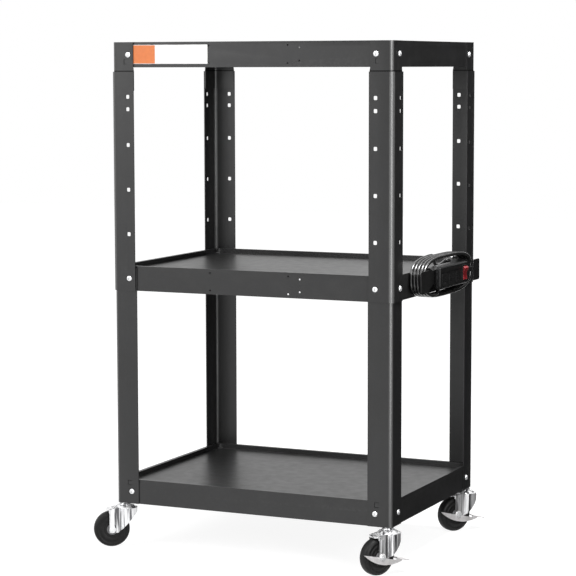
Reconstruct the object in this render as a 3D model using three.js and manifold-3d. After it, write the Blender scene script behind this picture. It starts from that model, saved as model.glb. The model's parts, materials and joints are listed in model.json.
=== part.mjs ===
// A rolling audio visual cart: three pressed steel trays bolted into four angle
// legs of adjustable height, on swivel casters, with a power outlet unit and its
// wound cord on the right side. Millimetres, +Z up, X to the right, Y to the back.
// The origin is on the floor, under the centre of the trays.
import * as THREE from 'three';
import { mergeVertices } from 'three/addons/utils/BufferGeometryUtils.js';
import Module from 'manifold-3d';

const wasm = await Module();
wasm.setup();

// Overall frame
const frameWidth = 609.6;
const frameDepth = 457.2;
const clearance = 0.3;
const overrun = 2;

// Casters
const wheelRadius = 37;
const forkRise = 50;
const bearingGap = 5;
const casterHeight = wheelRadius + forkRise + bearingGap;
const casterInset = 12;
const trail = 28;

// Legs
const legSheet = 2;
const legFlange = 50.8;
const legCornerRadius = 8;
const legLap = 46;
const sleeveLength = 443;
const postFlange = 46.8;
const postLap = 38;
const postTaperHeight = 9;

// Tray levels, measured from the leg bottoms
const middleLevel = 440;
const traySleeveGap = 8.7;

// Trays
const lipHeight = 50.6;
const traySheet = 1.2;
const trayDepth = 10;
const rimWidth = 8;
const hemWidth = 10;
const trayInnerRadius = 17;
const trayOuterRadius = 6;
const notchMargin = 5.3;

// Bolts and their holes
const boltLine = 35;
const boltRise = 25.2;
const boltRadius = 2.5;
const boltHeadRadius = 5.4;
const boltHeadHeight = 2.6;
const boltSlotWidth = 1.2;
const boltSlotDepth = 1;
const boltHoleRadius = 2.9;
const nutFlats = 8;
const nutHeight = 4;
const boltTip = 0.9;
const boltSides = 8;
const boltCrownRadiusShare = 0.62;
const boltCrownHeightShare = 0.85;

// Holes for setting the height
const heightPitch = 90.2;
const heightHoleCount = 3;
const heightHoleSide = 7.8;
const heightHoleCorner = 1.3;
const pairDrop = 62.65;
const pairSpacing = 24.9;

// Lanced tabs in the legs
const slitWidth = 1;
const slitTall = 10.5;
const slitReach = 9;
const slitInset = 31;
const slitAboveBolt = 12.8;
const slitBelowBolt = 19;

// Holes in the front lips
const lipHoleRadius = 1.9;
const lipHoleSides = 6;
const wideHoleLeft = -88.5;
const wideHoleRight = 83.5;
const wideHoleSpacing = 35;
const narrowHoleRight = 108.4;
const narrowHoleSpacing = 25.2;

const corners = [
  { name: 'front_left', sideX: -1, sideY: -1 },
  { name: 'front_right', sideX: 1, sideY: -1 },
  { name: 'back_left', sideX: -1, sideY: 1 },
  { name: 'back_right', sideX: 1, sideY: 1 },
];

// Colours and finishes
const powderCoat = { color: 0x2b2b2b, roughness: 0.45, metalness: 0.3 };
const zinc = { color: 0xd0d2d4, roughness: 0.25, metalness: 1 };
const chrome = { color: 0xe6e6e8, roughness: 0.1, metalness: 1 };
const rubber = { color: 0x1d1d1f, roughness: 0.7, metalness: 0 };
const greyPlastic = { color: 0x77787a, roughness: 0.5, metalness: 0 };
const blackPlastic = { color: 0x141416, roughness: 0.4, metalness: 0 };
const redPlastic = { color: 0xb3202a, roughness: 0.3, metalness: 0 };

const root = new THREE.Group();

function addMesh(parent, name, geometry, finish) {
  const mesh = new THREE.Mesh(geometry, new THREE.MeshStandardMaterial(finish));
  mesh.name = name;
  parent.add(mesh);
  return mesh;
}

// Geometry with position only, shared vertices joined and flat triangles dropped
function weld(geometry) {
  const bare = geometry.clone();
  bare.deleteAttribute('normal');
  bare.deleteAttribute('uv');
  const joined = mergeVertices(bare, 1e-3);
  const index = joined.getIndex().array;
  const kept = [];
  for (let i = 0; i < index.length; i += 3) {
    const [a, b, c] = [index[i], index[i + 1], index[i + 2]];
    if (a !== b && b !== c && c !== a) kept.push(a, b, c);
  }
  joined.setIndex(kept);
  return joined;
}

function toSolid(geometry) {
  const joined = weld(geometry);
  const mesh = new wasm.Mesh({
    numProp: 3,
    vertProperties: new Float32Array(joined.getAttribute('position').array),
    triVerts: new Uint32Array(joined.getIndex().array),
  });
  return new wasm.Manifold(mesh);
}

function toGeometry(solid) {
  const mesh = solid.getMesh();
  const geometry = new THREE.BufferGeometry();
  geometry.setAttribute('position', new THREE.BufferAttribute(new Float32Array(mesh.vertProperties), 3));
  geometry.setIndex(Array.from(mesh.triVerts));
  return geometry;
}

function subtractAll(solid, tools) {
  return tools.reduce((rest, tool) => rest.subtract(toSolid(tool)), solid);
}

function addAll(geometries) {
  const [first, ...others] = geometries.map(toSolid);
  return others.reduce((sum, other) => sum.add(other), first);
}

// Extrusions of a plane outline along each axis: (x, y) up Z, (y, z) along X, (x, z) along Y
function extrudeZ(points, low, high, holes = []) {
  const shape = new THREE.Shape(points);
  shape.holes = holes.map((hole) => new THREE.Path(hole));
  const geometry = new THREE.ExtrudeGeometry(shape, { depth: high - low, bevelEnabled: false });
  return geometry.translate(0, 0, low);
}

function extrudeX(points, low, high, holes = []) {
  const toX = new THREE.Matrix4().makeBasis(
    new THREE.Vector3(0, 1, 0),
    new THREE.Vector3(0, 0, 1),
    new THREE.Vector3(1, 0, 0),
  );
  return extrudeZ(points, low, high, holes).applyMatrix4(toX);
}

function extrudeY(points, low, high, holes = []) {
  return extrudeZ(points, -high, -low, holes).rotateX(Math.PI / 2);
}

function box(x0, x1, y0, y1, z0, z1) {
  return extrudeZ(rectangle(x0, x1, y0, y1), z0, z1);
}

// Turned pieces: profile points are (radius, height) along the axis
function turnY(profile, sides) {
  return weld(new THREE.LatheGeometry(profile, sides));
}

function turnZ(profile, sides) {
  return turnY(profile, sides).rotateX(Math.PI / 2);
}

function point(a, b) {
  return new THREE.Vector2(a, b);
}

function rectangle(a0, a1, b0, b1) {
  return [point(a0, b0), point(a1, b0), point(a1, b1), point(a0, b1)];
}

function arc(centreA, centreB, radius, from, to, steps) {
  const points = [];
  for (let i = 0; i <= steps; i += 1) {
    const angle = from + ((to - from) * i) / steps;
    points.push(point(centreA + radius * Math.cos(angle), centreB + radius * Math.sin(angle)));
  }
  return points;
}

function circle(centreA, centreB, radius, sides) {
  return arc(centreA, centreB, radius, 0, 2 * Math.PI, sides).slice(0, sides);
}

function roundedRectangle(a0, a1, b0, b1, radius, steps) {
  const quarter = Math.PI / 2;
  return [
    ...arc(a1 - radius, b0 + radius, radius, -quarter, 0, steps),
    ...arc(a1 - radius, b1 - radius, radius, 0, quarter, steps),
    ...arc(a0 + radius, b1 - radius, radius, quarter, 2 * quarter, steps),
    ...arc(a0 + radius, b0 + radius, radius, 2 * quarter, 3 * quarter, steps),
  ];
}

// Where things stand
const legBottom = casterHeight;
const middleBase = legBottom + middleLevel;
const sleeveStep = legSheet + clearance;
const sleeveTop = middleBase + sleeveLength;
const topBase = sleeveTop + traySleeveGap;
const halfWidth = frameWidth / 2;
const halfDepth = frameDepth / 2;
const boltX = halfWidth - boltLine;
const boltY = halfDepth - boltLine;

// An angle leg in plan; faceOut moves both outer faces out from the frame's faces
function angleOutline(corner, faceOut, flange) {
  const outer = legCornerRadius + faceOut;
  const inner = outer - legSheet;
  const steps = 3;
  const local = [
    point(flange, 0),
    ...arc(outer, outer, outer, -Math.PI / 2, -Math.PI, steps),
    point(0, flange),
    point(legSheet, flange),
    ...arc(outer, outer, inner, -Math.PI, -Math.PI / 2, steps),
    point(flange, legSheet),
  ];
  const faceX = halfWidth + faceOut;
  const faceY = halfDepth + faceOut;
  return local.map((p) => point(corner.sideX * (faceX - p.x), corner.sideY * (faceY - p.y)));
}

// A tool through one flange: side 'x' pierces the flange that faces X, 'y' the one that faces Y
function flangeTool(corner, side, outline) {
  const reach = sleeveStep + overrun;
  const depth = legSheet + sleeveStep + overrun;
  if (side === 'x') {
    const face = corner.sideX * halfWidth;
    return extrudeX(outline, Math.min(face + corner.sideX * reach, face - corner.sideX * depth),
      Math.max(face + corner.sideX * reach, face - corner.sideX * depth));
  }
  const face = corner.sideY * halfDepth;
  return extrudeY(outline, Math.min(face + corner.sideY * reach, face - corner.sideY * depth),
    Math.max(face + corner.sideY * reach, face - corner.sideY * depth));
}

function boltHoles(corner, height) {
  return [
    flangeTool(corner, 'x', circle(corner.sideY * boltY, height, boltHoleRadius, boltSides)),
    flangeTool(corner, 'y', circle(corner.sideX * boltX, height, boltHoleRadius, boltSides)),
  ];
}

// The three-sided slit of a lanced tab, in the flange that faces front or back.
// Seen from outside, every one is open to the right.
function tabSlit(corner, bottom) {
  const centre = corner.sideX * (halfWidth - slitInset);
  const upright = centre + (corner.sideY * slitReach) / 2;
  const [left, right] = [centre - slitReach / 2, centre + slitReach / 2];
  const outlines = [
    rectangle(upright - slitWidth / 2, upright + slitWidth / 2, bottom, bottom + slitTall),
    rectangle(left, right, bottom, bottom + slitWidth),
    rectangle(left, right, bottom + slitTall - slitWidth, bottom + slitTall),
  ];
  return toGeometry(addAll(outlines.map((outline) => flangeTool(corner, 'y', outline))));
}

// Each leg piece carries the bolts whose heads bear on it
function withBolts(leg, corner, height, faceOut) {
  const whole = cornerBolts(corner, height, faceOut).reduce((sum, bolt) => sum.add(toSolid(bolt)), leg);
  return toGeometry(whole);
}

function lowerLeg(corner) {
  const outline = angleOutline(corner, 0, legFlange);
  const blank = toSolid(extrudeZ(outline, legBottom, middleBase + legLap));
  const tools = [
    ...boltHoles(corner, middleBase + boltRise),
    tabSlit(corner, legBottom + boltRise + slitAboveBolt),
  ];
  return withBolts(subtractAll(blank, tools), corner, legBottom + boltRise, 0);
}

// Square holes with softened corners
function heightHoles(corner, height) {
  const reach = heightHoleSide / 2;
  const square = (line) =>
    roundedRectangle(line - reach, line + reach, height - reach, height + reach, heightHoleCorner, 1);
  return [
    flangeTool(corner, 'x', square(corner.sideY * boltY)),
    flangeTool(corner, 'y', square(corner.sideX * boltX)),
  ];
}

function outerLeg(corner) {
  const outline = angleOutline(corner, sleeveStep, legFlange);
  const blank = toSolid(extrudeZ(outline, middleBase, sleeveTop));
  const boltHeight = middleBase + boltRise;
  const tools = [];
  for (let i = 1; i <= heightHoleCount; i += 1) {
    tools.push(...heightHoles(corner, boltHeight + i * heightPitch));
  }
  tools.push(...heightHoles(corner, sleeveTop - pairDrop - pairSpacing / 2));
  tools.push(...heightHoles(corner, sleeveTop - pairDrop + pairSpacing / 2));
  return withBolts(subtractAll(blank, tools), corner, boltHeight, sleeveStep);
}

// Inside the sleeve the post's flanges end just short of the sleeve's. Above it they
// narrow, so that the lip shows beside them.
function topPost(corner) {
  const rootFlange = legFlange - sleeveStep - clearance;
  const outline = angleOutline(corner, 0, rootFlange);
  const top = topBase + lipHeight;
  const blank = toSolid(extrudeZ(outline, sleeveTop - postLap, top));
  const taper = (side, half) => [
    point(side * (half - rootFlange - overrun), sleeveTop),
    point(side * (half - rootFlange), sleeveTop),
    point(side * (half - postFlange), sleeveTop + postTaperHeight),
    point(side * (half - postFlange), top + overrun),
    point(side * (half - rootFlange - overrun), top + overrun),
  ];
  const tools = [
    flangeTool(corner, 'x', taper(corner.sideY, halfDepth)),
    flangeTool(corner, 'y', taper(corner.sideX, halfWidth)),
    tabSlit(corner, topBase + boltRise - slitBelowBolt),
  ];
  return withBolts(subtractAll(blank, tools), corner, topBase + boltRise, 0);
}

// A tray is lofted through rounded rectangles from its surface, over the folded
// rim, down the apron, round the hem and back up to its underside.
const apronX = halfWidth - legSheet - clearance;
const apronY = halfDepth - legSheet - clearance;
const traySurface = lipHeight - trayDepth;
const trayUnderside = traySurface - traySheet;

function trayRings() {
  const wallInset = rimWidth - traySheet;
  return [
    { inset: rimWidth, height: traySurface, radius: trayInnerRadius },
    { inset: rimWidth, height: lipHeight, radius: trayInnerRadius },
    { inset: 0, height: lipHeight, radius: trayOuterRadius },
    { inset: 0, height: 0, radius: trayOuterRadius },
    { inset: hemWidth, height: 0, radius: trayInnerRadius },
    { inset: hemWidth, height: traySheet, radius: trayInnerRadius },
    { inset: traySheet, height: traySheet, radius: trayOuterRadius },
    { inset: traySheet, height: lipHeight - traySheet, radius: trayOuterRadius },
    { inset: wallInset, height: lipHeight - traySheet, radius: trayInnerRadius + traySheet },
    { inset: wallInset, height: trayUnderside, radius: trayInnerRadius + traySheet },
  ];
}

function loft(rings) {
  const steps = 3;
  const positions = [];
  for (const ring of rings) {
    const x = apronX - ring.inset;
    const y = apronY - ring.inset;
    for (const p of roundedRectangle(-x, x, -y, y, ring.radius, steps)) {
      positions.push(p.x, p.y, ring.height);
    }
  }
  const count = 4 * (steps + 1);
  const index = [];
  for (let i = 0; i < rings.length - 1; i += 1) {
    for (let j = 0; j < count; j += 1) {
      const next = (j + 1) % count;
      const [a, b] = [i * count + j, i * count + next];
      const [c, d] = [(i + 1) * count + j, (i + 1) * count + next];
      index.push(a, c, d, a, d, b);
    }
  }
  const last = (rings.length - 1) * count;
  for (let j = 1; j < count - 1; j += 1) {
    index.push(0, j, j + 1);
    index.push(last, last + j + 1, last + j);
  }
  const geometry = new THREE.BufferGeometry();
  geometry.setAttribute('position', new THREE.BufferAttribute(new Float32Array(positions), 3));
  geometry.setIndex(index);
  return geometry;
}

// Clears the caster socket in each corner, below the tray's surface
function cornerNotch(corner) {
  const reach = casterInset + socketRadius + notchMargin;
  const [x0, x1] = [corner.sideX * (halfWidth - reach), corner.sideX * halfWidth];
  const [y0, y1] = [corner.sideY * (halfDepth - reach), corner.sideY * halfDepth];
  return box(Math.min(x0, x1), Math.max(x0, x1), Math.min(y0, y1), Math.max(y0, y1),
    -overrun, trayUnderside - clearance);
}

function lipHoles() {
  const places = [
    { x: wideHoleLeft, spacing: wideHoleSpacing },
    { x: wideHoleRight, spacing: wideHoleSpacing },
    { x: narrowHoleRight, spacing: narrowHoleSpacing },
  ];
  const tools = [];
  for (const place of places) {
    for (const side of [-1, 1]) {
      const height = lipHeight / 2 + (side * place.spacing) / 2;
      const outline = circle(place.x, height, lipHoleRadius, lipHoleSides);
      tools.push(extrudeY(outline, -apronY - overrun, -apronY + rimWidth / 2));
    }
  }
  return tools;
}

function apronBoltHoles(corner) {
  const acrossX = circle(corner.sideY * boltY, boltRise, boltHoleRadius, boltSides);
  const acrossY = circle(corner.sideX * boltX, boltRise, boltHoleRadius, boltSides);
  const [x0, x1] = [corner.sideX * (apronX - rimWidth / 2), corner.sideX * (apronX + overrun)];
  const [y0, y1] = [corner.sideY * (apronY - rimWidth / 2), corner.sideY * (apronY + overrun)];
  return [
    extrudeX(acrossX, Math.min(x0, x1), Math.max(x0, x1)),
    extrudeY(acrossY, Math.min(y0, y1), Math.max(y0, y1)),
  ];
}

function tray(base, extraTools) {
  const tools = [...extraTools];
  for (const corner of corners) {
    tools.push(cornerNotch(corner), ...apronBoltHoles(corner));
  }
  return toGeometry(subtractAll(toSolid(loft(trayRings())), tools)).translate(0, 0, base);
}

// A slotted dome-head bolt with its hex nut run up behind the apron; the head
// sits on local zero and faces +Z
function boltWithNut(grip) {
  const crown = boltHeadRadius * boltCrownRadiusShare;
  const tip = -grip - nutHeight - boltTip;
  const shank = turnZ([
    point(0, tip),
    point(boltRadius, tip),
    point(boltRadius, 0),
    point(boltHeadRadius, 0),
    point(crown, boltHeadHeight * boltCrownHeightShare),
    point(0, boltHeadHeight),
  ], boltSides);
  const nut = extrudeZ(circle(0, 0, nutFlats / Math.sqrt(3), 6), -grip - nutHeight, -grip);
  const slot = box(-boltSlotWidth / 2, boltSlotWidth / 2, -boltHeadRadius, boltHeadRadius,
    boltHeadHeight - boltSlotDepth, boltHeadHeight + overrun);
  return addAll([shank, nut]).subtract(toSolid(slot));
}

// The two bolts of a corner, each turned so that its head faces out of the frame
function cornerBolts(corner, height, faceOut) {
  const up = new THREE.Vector3(0, 0, 1);
  const seatX = halfWidth + faceOut;
  const seatY = halfDepth + faceOut;
  const grip = faceOut + sleeveStep + traySheet + clearance;
  const bolt = toGeometry(boltWithNut(grip));
  const spots = [
    { out: new THREE.Vector3(corner.sideX, 0, 0), x: corner.sideX * seatX, y: corner.sideY * boltY },
    { out: new THREE.Vector3(0, corner.sideY, 0), x: corner.sideX * boltX, y: corner.sideY * seatY },
  ];
  return spots.map((spot) => {
    const across = new THREE.Vector3().crossVectors(up, spot.out);
    const matrix = new THREE.Matrix4().makeBasis(across, up, spot.out);
    return bolt.clone().applyMatrix4(matrix.setPosition(spot.x, spot.y, height));
  });
}

// Caster pieces, with the swivel axis at the local origin, the floor at zero and
// the wheel trailing towards -X
const socketRadius = 9.7;
const socketHeight = 29.5;
const stemRadius = 5.25;
const stemTop = 27;
const stemFlangeRadius = 9;
const stemFlangeHeight = 2;
const stemCollarRadius = 7;
const rivetRadius = 8;
const rivetHeight = 2.2;
const stemSides = 12;

function casterSocket() {
  const bore = stemRadius + clearance;
  return turnZ([
    point(bore, 0),
    point(socketRadius, 0),
    point(socketRadius, socketHeight),
    point(bore, socketHeight),
    point(bore, 0),
  ], stemSides);
}

function casterStem() {
  const rivetTop = wheelRadius + forkRise - forkSheet - clearance;
  const collarBottom = wheelRadius + forkRise + clearance;
  const flangeTop = casterHeight - clearance;
  return turnZ([
    point(0, rivetTop - rivetHeight),
    point(rivetRadius, rivetTop - rivetHeight),
    point(rivetRadius, rivetTop),
    point(stemRadius, rivetTop),
    point(stemRadius, collarBottom),
    point(stemCollarRadius, collarBottom),
    point(stemFlangeRadius, flangeTop - stemFlangeHeight),
    point(stemFlangeRadius, flangeTop),
    point(stemRadius, flangeTop),
    point(stemRadius, casterHeight + stemTop),
    point(0, casterHeight + stemTop),
  ], stemSides);
}

// The fork is bent from one sheet: a round hood about the swivel axis that runs
// into two flat arms beside the wheel. Heights are from the axle.
const forkSheet = 2;
const armHalfWidth = 16.5;
const armTail = 6;
const armFoot = 6.4;
const armToe = 12;
const flareStart = 15.2;
const flareEnd = 21.5;
const flareShiftShare = 0.45;
const hoodRadius = 25.7;
const hoodTop = 44;
const hoodNose = 35.5;
const hoodNoseReach = 51.7;
const fenderTip = 12;
const fenderTipHalfWidth = 8;
const fenderTipTop = 40.5;
const fenderTipDepth = 2;
const fenderRootHeight = 34;
const fenderSlopeStart = 10;
const domeShoulderRadius = 18;
const domeShoulderDrop = 1.5;
const domeCrownRadius = 10;
const domeFootRadius = 23;
const ribStart = -4;
const ribEnd = 7.5;
const ribRise = 1.2;
const ribFoot = 10;
const ribHead = 36;
const ribSlope = 1.5;
const hoodSteps = 12;

// The plan of the fork's sheet, drawn in by the sheet for its inner side
function forkPlan(inset, tail, tailHalfWidth) {
  const radius = hoodRadius - inset;
  const half = armHalfWidth - inset;
  const start = flareStart + inset * flareShiftShare - trail;
  const fold = Math.acos((flareEnd - trail) / hoodRadius);
  const outline = [point(start, -half), ...arc(0, 0, radius, -fold, fold, hoodSteps), point(start, half)];
  if (tailHalfWidth < half) {
    outline.push(point(-armTail - trail, half));
    outline.push(point(tail - trail, tailHalfWidth), point(tail - trail, -tailHalfWidth));
    outline.push(point(-armTail - trail, -half));
    return outline;
  }
  return [...outline, point(tail - trail, half), point(tail - trail, -half)];
}

function forkSideOutline() {
  const slope = (hoodNose + armFoot) / (hoodNoseReach - armToe);
  const nose = hoodNoseReach + overrun;
  const local = [
    point(-armTail, -armFoot),
    point(armToe, -armFoot),
    point(nose, hoodNose + overrun * slope),
    point(nose, hoodTop),
    point(fenderSlopeStart, hoodTop),
    point(-fenderTip, fenderTipTop),
    point(-fenderTip, fenderTipTop - fenderTipDepth),
    point(-armTail, fenderRootHeight),
  ];
  return local.map((p) => point(p.x - trail, p.y + wheelRadius));
}

function forkHollowOutline() {
  const farEnd = hoodNoseReach + 2 * overrun;
  const tail = fenderTip + 2 * overrun;
  const slope = (hoodTop - fenderTipTop) / (fenderTip + fenderSlopeStart);
  const local = [
    point(-tail, -armFoot - overrun),
    point(farEnd, -armFoot - overrun),
    point(farEnd, hoodTop - forkSheet),
    point(fenderSlopeStart, hoodTop - forkSheet),
    point(-tail, hoodTop - forkSheet - slope * (tail + fenderSlopeStart)),
  ];
  return local.map((p) => point(p.x - trail, p.y + wheelRadius));
}

function forkDome(inset) {
  const top = wheelRadius + forkRise - inset;
  const foot = wheelRadius + hoodTop - inset;
  return turnZ([
    point(0, foot - forkSheet / 2),
    point(domeFootRadius - inset, foot - forkSheet / 2),
    point(domeFootRadius - inset, foot),
    point(domeShoulderRadius - inset, top - domeShoulderDrop),
    point(domeCrownRadius - inset / 2, top),
    point(0, top),
  ], hoodSteps);
}

function armRib(side) {
  const base = armHalfWidth - forkSheet / 2;
  const outline = [
    point(ribStart - trail, side * base),
    point(ribEnd - trail, side * base),
    point(ribEnd - ribSlope - trail, side * (armHalfWidth + ribRise)),
    point(ribStart + ribSlope - trail, side * (armHalfWidth + ribRise)),
  ];
  return extrudeZ(outline, wheelRadius + ribFoot, wheelRadius + ribHead);
}

function casterFork() {
  const reach = hoodRadius + overrun;
  const foot = wheelRadius - armFoot - overrun;
  const top = wheelRadius + hoodTop + overrun;
  const plan = forkPlan(0, -fenderTip, fenderTipHalfWidth);
  const hollowPlan = forkPlan(forkSheet, -fenderTip - overrun, armHalfWidth);
  const outside = toSolid(extrudeZ(plan, foot, top))
    .intersect(toSolid(extrudeY(forkSideOutline(), -reach, reach)))
    .add(toSolid(forkDome(0)));
  const hollow = toSolid(extrudeZ(hollowPlan, foot - overrun, top))
    .intersect(toSolid(extrudeY(forkHollowOutline(), -reach, reach)))
    .add(toSolid(forkDome(forkSheet)));
  const stemHole = circle(0, 0, stemRadius + clearance, stemSides);
  const axleHole = circle(-trail, wheelRadius, axleRadius + clearance, axleSides);
  const shell = outside.subtract(hollow).add(toSolid(armRib(1))).add(toSolid(armRib(-1)));
  return toGeometry(subtractAll(shell, [
    extrudeZ(stemHole, wheelRadius + hoodTop - forkSheet, wheelRadius + forkRise + overrun),
    extrudeY(axleHole, -reach, reach),
  ]));
}

// Wheel, hub and axle turn about the local Y axis
const axleRadius = 4;
const axleHeadRadius = 6.8;
const axleHeadHeight = 3.4;
const axleCrownRadius = 4.6;
const axleCrownHeight = 1.6;
const axleSides = 12;
const hubRadius = 11;
const hubHalfWidth = 13.5;
const hubRimHalfWidth = 12.3;
const hubFaceRadius = 7;
const tyreHalfWidth = 12;
const tyreTreadHalfWidth = 5;
const tyreShoulderRadius = 34.5;
const tyreShoulderHalfWidth = 9.8;
const tyreRingRadius = 30;
const tyreGrooveRadius = 28.5;
const tyreGrooveInner = 24;
const tyreGrooveDepth = 0.9;
const tyreSides = 20;

function wheelTyre() {
  const half = [
    point(hubRadius + clearance, tyreHalfWidth),
    point(tyreGrooveInner, tyreHalfWidth),
    point(tyreGrooveRadius, tyreHalfWidth - tyreGrooveDepth),
    point(tyreRingRadius, tyreHalfWidth),
    point(tyreShoulderRadius, tyreShoulderHalfWidth),
    point(wheelRadius, tyreTreadHalfWidth),
  ];
  const mirrored = half.map((p) => point(p.x, -p.y));
  const profile = [...mirrored, ...half.reverse(), mirrored[0].clone()];
  return turnY(profile, tyreSides);
}

function wheelHub() {
  const bore = axleRadius + clearance;
  return turnY([
    point(bore, -hubHalfWidth),
    point(hubFaceRadius, -hubHalfWidth),
    point(hubRadius, -hubRimHalfWidth),
    point(hubRadius, hubRimHalfWidth),
    point(hubFaceRadius, hubHalfWidth),
    point(bore, hubHalfWidth),
    point(bore, -hubHalfWidth),
  ], axleSides);
}

function wheelAxle(seat) {
  const profile = (side) => [
    point(axleRadius, side * seat),
    point(axleHeadRadius, side * seat),
    point(axleHeadRadius, side * (seat + axleHeadHeight - axleCrownHeight)),
    point(axleCrownRadius, side * (seat + axleHeadHeight)),
    point(0, side * (seat + axleHeadHeight)),
  ];
  return turnY([...profile(-1).reverse(), ...profile(1)], axleSides);
}

// The brake lever straddles the wheel outside the fork and turns about the axle.
// Its outline is drawn about the axle with the chord level.
const leverSheet = 1.5;
const leverNearTail = 46;
const leverFarTail = 12;
const leverNose = 50;
const leverDepth = 13.5;
const leverLugRadius = 8.5;
const leverPedalStart = 39;
const leverPedalEnd = 73;
const leverPedalBottom = 2.4;
const leverPedalRamp = 3;
const leverPedalCorner = 8;
const leverTilt = THREE.MathUtils.degToRad(13.7);

function leverPlate(tail) {
  const half = (tail + leverNose) / 2;
  const centre = (leverNose - tail) / 2;
  const radius = (half * half + leverDepth * leverDepth) / (2 * leverDepth);
  const spread = Math.asin(half / radius);
  const belly = arc(centre, radius - leverDepth, radius, -Math.PI / 2 - spread, -Math.PI / 2 + spread, 10);
  const top = leverPedalBottom + leverSheet;
  const ramp = point(leverPedalStart - leverPedalRamp, 0);
  return [...belly, point(leverNose, top), point(leverPedalStart, top), ramp];
}

function brakeLever() {
  const inside = armHalfWidth + clearance;
  const outside = inside + leverSheet;
  const plates = [-1, 1].flatMap((side) => {
    const [low, high] = side > 0 ? [inside, outside] : [-outside, -inside];
    return [
      extrudeY(leverPlate(side > 0 ? leverFarTail : leverNearTail), low, high),
      extrudeY(circle(0, 0, leverLugRadius, axleSides), low, high),
    ];
  });
  const pedal = roundedRectangle(leverPedalStart, leverPedalEnd, -outside, outside, leverPedalCorner, 3);
  const square = rectangle(leverPedalStart, leverNose, -outside, outside);
  const whole = addAll([
    ...plates,
    extrudeZ(pedal, leverPedalBottom, leverPedalBottom + leverSheet),
    extrudeZ(square, leverPedalBottom, leverPedalBottom + leverSheet),
  ]);
  const hole = circle(0, 0, axleRadius + clearance, axleSides);
  return toGeometry(subtractAll(whole, [extrudeY(hole, -outside - overrun, outside + overrun)]));
}

const casters = [
  { name: 'front_left', heading: 35, braked: false },
  { name: 'front_right', heading: 61, braked: true },
  { name: 'back_left', heading: 280, braked: false },
  { name: 'back_right', heading: 55.5, braked: true },
];

function addCaster(caster) {
  const corner = corners.find((c) => c.name === caster.name);
  const place = new THREE.Group();
  place.position.set(corner.sideX * (halfWidth - casterInset), corner.sideY * (halfDepth - casterInset), 0);
  root.add(place);
  const socket = addMesh(place, `caster_socket_${caster.name}`, casterSocket(), powderCoat);
  socket.position.z = casterHeight;
  const swivel = new THREE.Group();
  swivel.rotation.z = THREE.MathUtils.degToRad(caster.heading);
  place.add(swivel);
  addMesh(swivel, `caster_stem_${caster.name}`, casterStem(), chrome);
  addMesh(swivel, `caster_fork_${caster.name}`, casterFork(), chrome);
  const axleLine = new THREE.Group();
  axleLine.position.set(-trail, 0, wheelRadius);
  swivel.add(axleLine);
  const seat = armHalfWidth + clearance + (caster.braked ? leverSheet + clearance : 0);
  addMesh(axleLine, `axle_${caster.name}`, wheelAxle(seat), zinc);
  addMesh(axleLine, `wheel_hub_${caster.name}`, wheelHub(), greyPlastic);
  addMesh(axleLine, `wheel_tyre_${caster.name}`, wheelTyre(), rubber);
  if (caster.braked) {
    const lever = addMesh(axleLine, `brake_lever_${caster.name}`, brakeLever(), zinc);
    lever.rotation.y = leverTilt;
  }
}

// Power unit on the right side of the middle tray. Its own lengths run along Y;
// heights are from the middle tray's lower edge.
const bracketSheet = 1.5;
const bracketHalfLength = 62;
const bracketBottom = 7;
const bracketTop = 47;
const bracketCorner = 5;
const unitScrewSpan = 100;
const unitScrewRise = 17;
const unitScrewRadius = 2;
const unitScrewHeadRadius = 4;
const unitScrewHeadHeight = 2.2;

const coreHalfLength = 131.6;
const coreDepth = 28.4;
const coreMiddle = 36.8;
const coreEndHeight = 42;
const coreWaistHeight = 28.5;
const coreEndLength = 31.6;
const coreRampLength = 16;
const coreCorner = 16;
const wingGap = 6.3;
const wingSheet = 2.2;
const wingBottom = 12.5;
const wingTop = 56;
const wingCorner = 5;
const wingRootInset = 9;
const nearWingReach = 37.1;
const farWingInset = 3.2;
const farWingReach = 33.1;

const frontLeft = -80.9;
const frontRight = 78.9;
const frontBottom = 13.7;
const frontTop = 57.5;
const frontGap = 5.5;
const frontThickness = 9;
const frontCorner = 6;
const frontBevel = 2;
const neckInset = 5;
const panelLeft = -72;
const panelRight = 43;
const panelBottom = 17.5;
const panelTop = 46;
const panelDepth = 0.8;

const outletCount = 3;
const outletFirst = -53;
const outletPitch = 38.5;
const outletWidth = 30;
const outletHeight = 25;
const outletProud = 0.5;
const outletCorner = 5;
const bladeSpacing = 12.7;
const bladeSlotWidth = 2;
const bladeSlotTall = 7;
const bladeSlotDepth = 5;
const groundDrop = 8.5;
const groundRadius = 2.6;
const bladeRise = 3.2;

const rockerCentre = 57;
const rockerHalfWidth = 11;
const rockerMiddle = 35.25;
const rockerPivotDepth = 4.5;
const rockerReach = 14.75;
const rockerProud = 9;
const rockerValley = 5.6;
const rockerBack = 4.6;
const rockerTilt = THREE.MathUtils.degToRad(8);
const rockerSwing = rockerReach * Math.sin(Math.asin(rockerBack / rockerReach) + rockerTilt);
const bezelWidth = 2.2;
const bezelProud = 1.2;
const bezelCorner = 2.5;

const coreEndBottom = coreMiddle - coreEndHeight / 2;
const coreEndTop = coreMiddle + coreEndHeight / 2;
const coreWaistBottom = coreMiddle - coreWaistHeight / 2;
const coreWaistTop = coreMiddle + coreWaistHeight / 2;
const bracketBack = apronX + clearance;
const coreBack = bracketBack + bracketSheet + clearance;
const coreFront = coreBack + coreDepth;
const coreEndStart = coreHalfLength - coreEndLength;
const coreWaistEnd = coreEndStart - coreRampLength;
const wingBack = coreFront + wingGap;
const wingFront = wingBack + wingSheet;
const wingRootStart = coreHalfLength - wingRootInset;
const nearWingEnd = coreHalfLength + nearWingReach;
const farWingStart = coreHalfLength - farWingInset;
const farWingEnd = coreHalfLength + farWingReach;
const frontBack = coreFront + frontGap;
const frontFace = frontBack + frontThickness;
const rockerPivotX = frontFace - rockerPivotDepth;

function unitPlate(points, low, high) {
  return extrudeX(points, low, high).translate(0, 0, middleBase);
}

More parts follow.
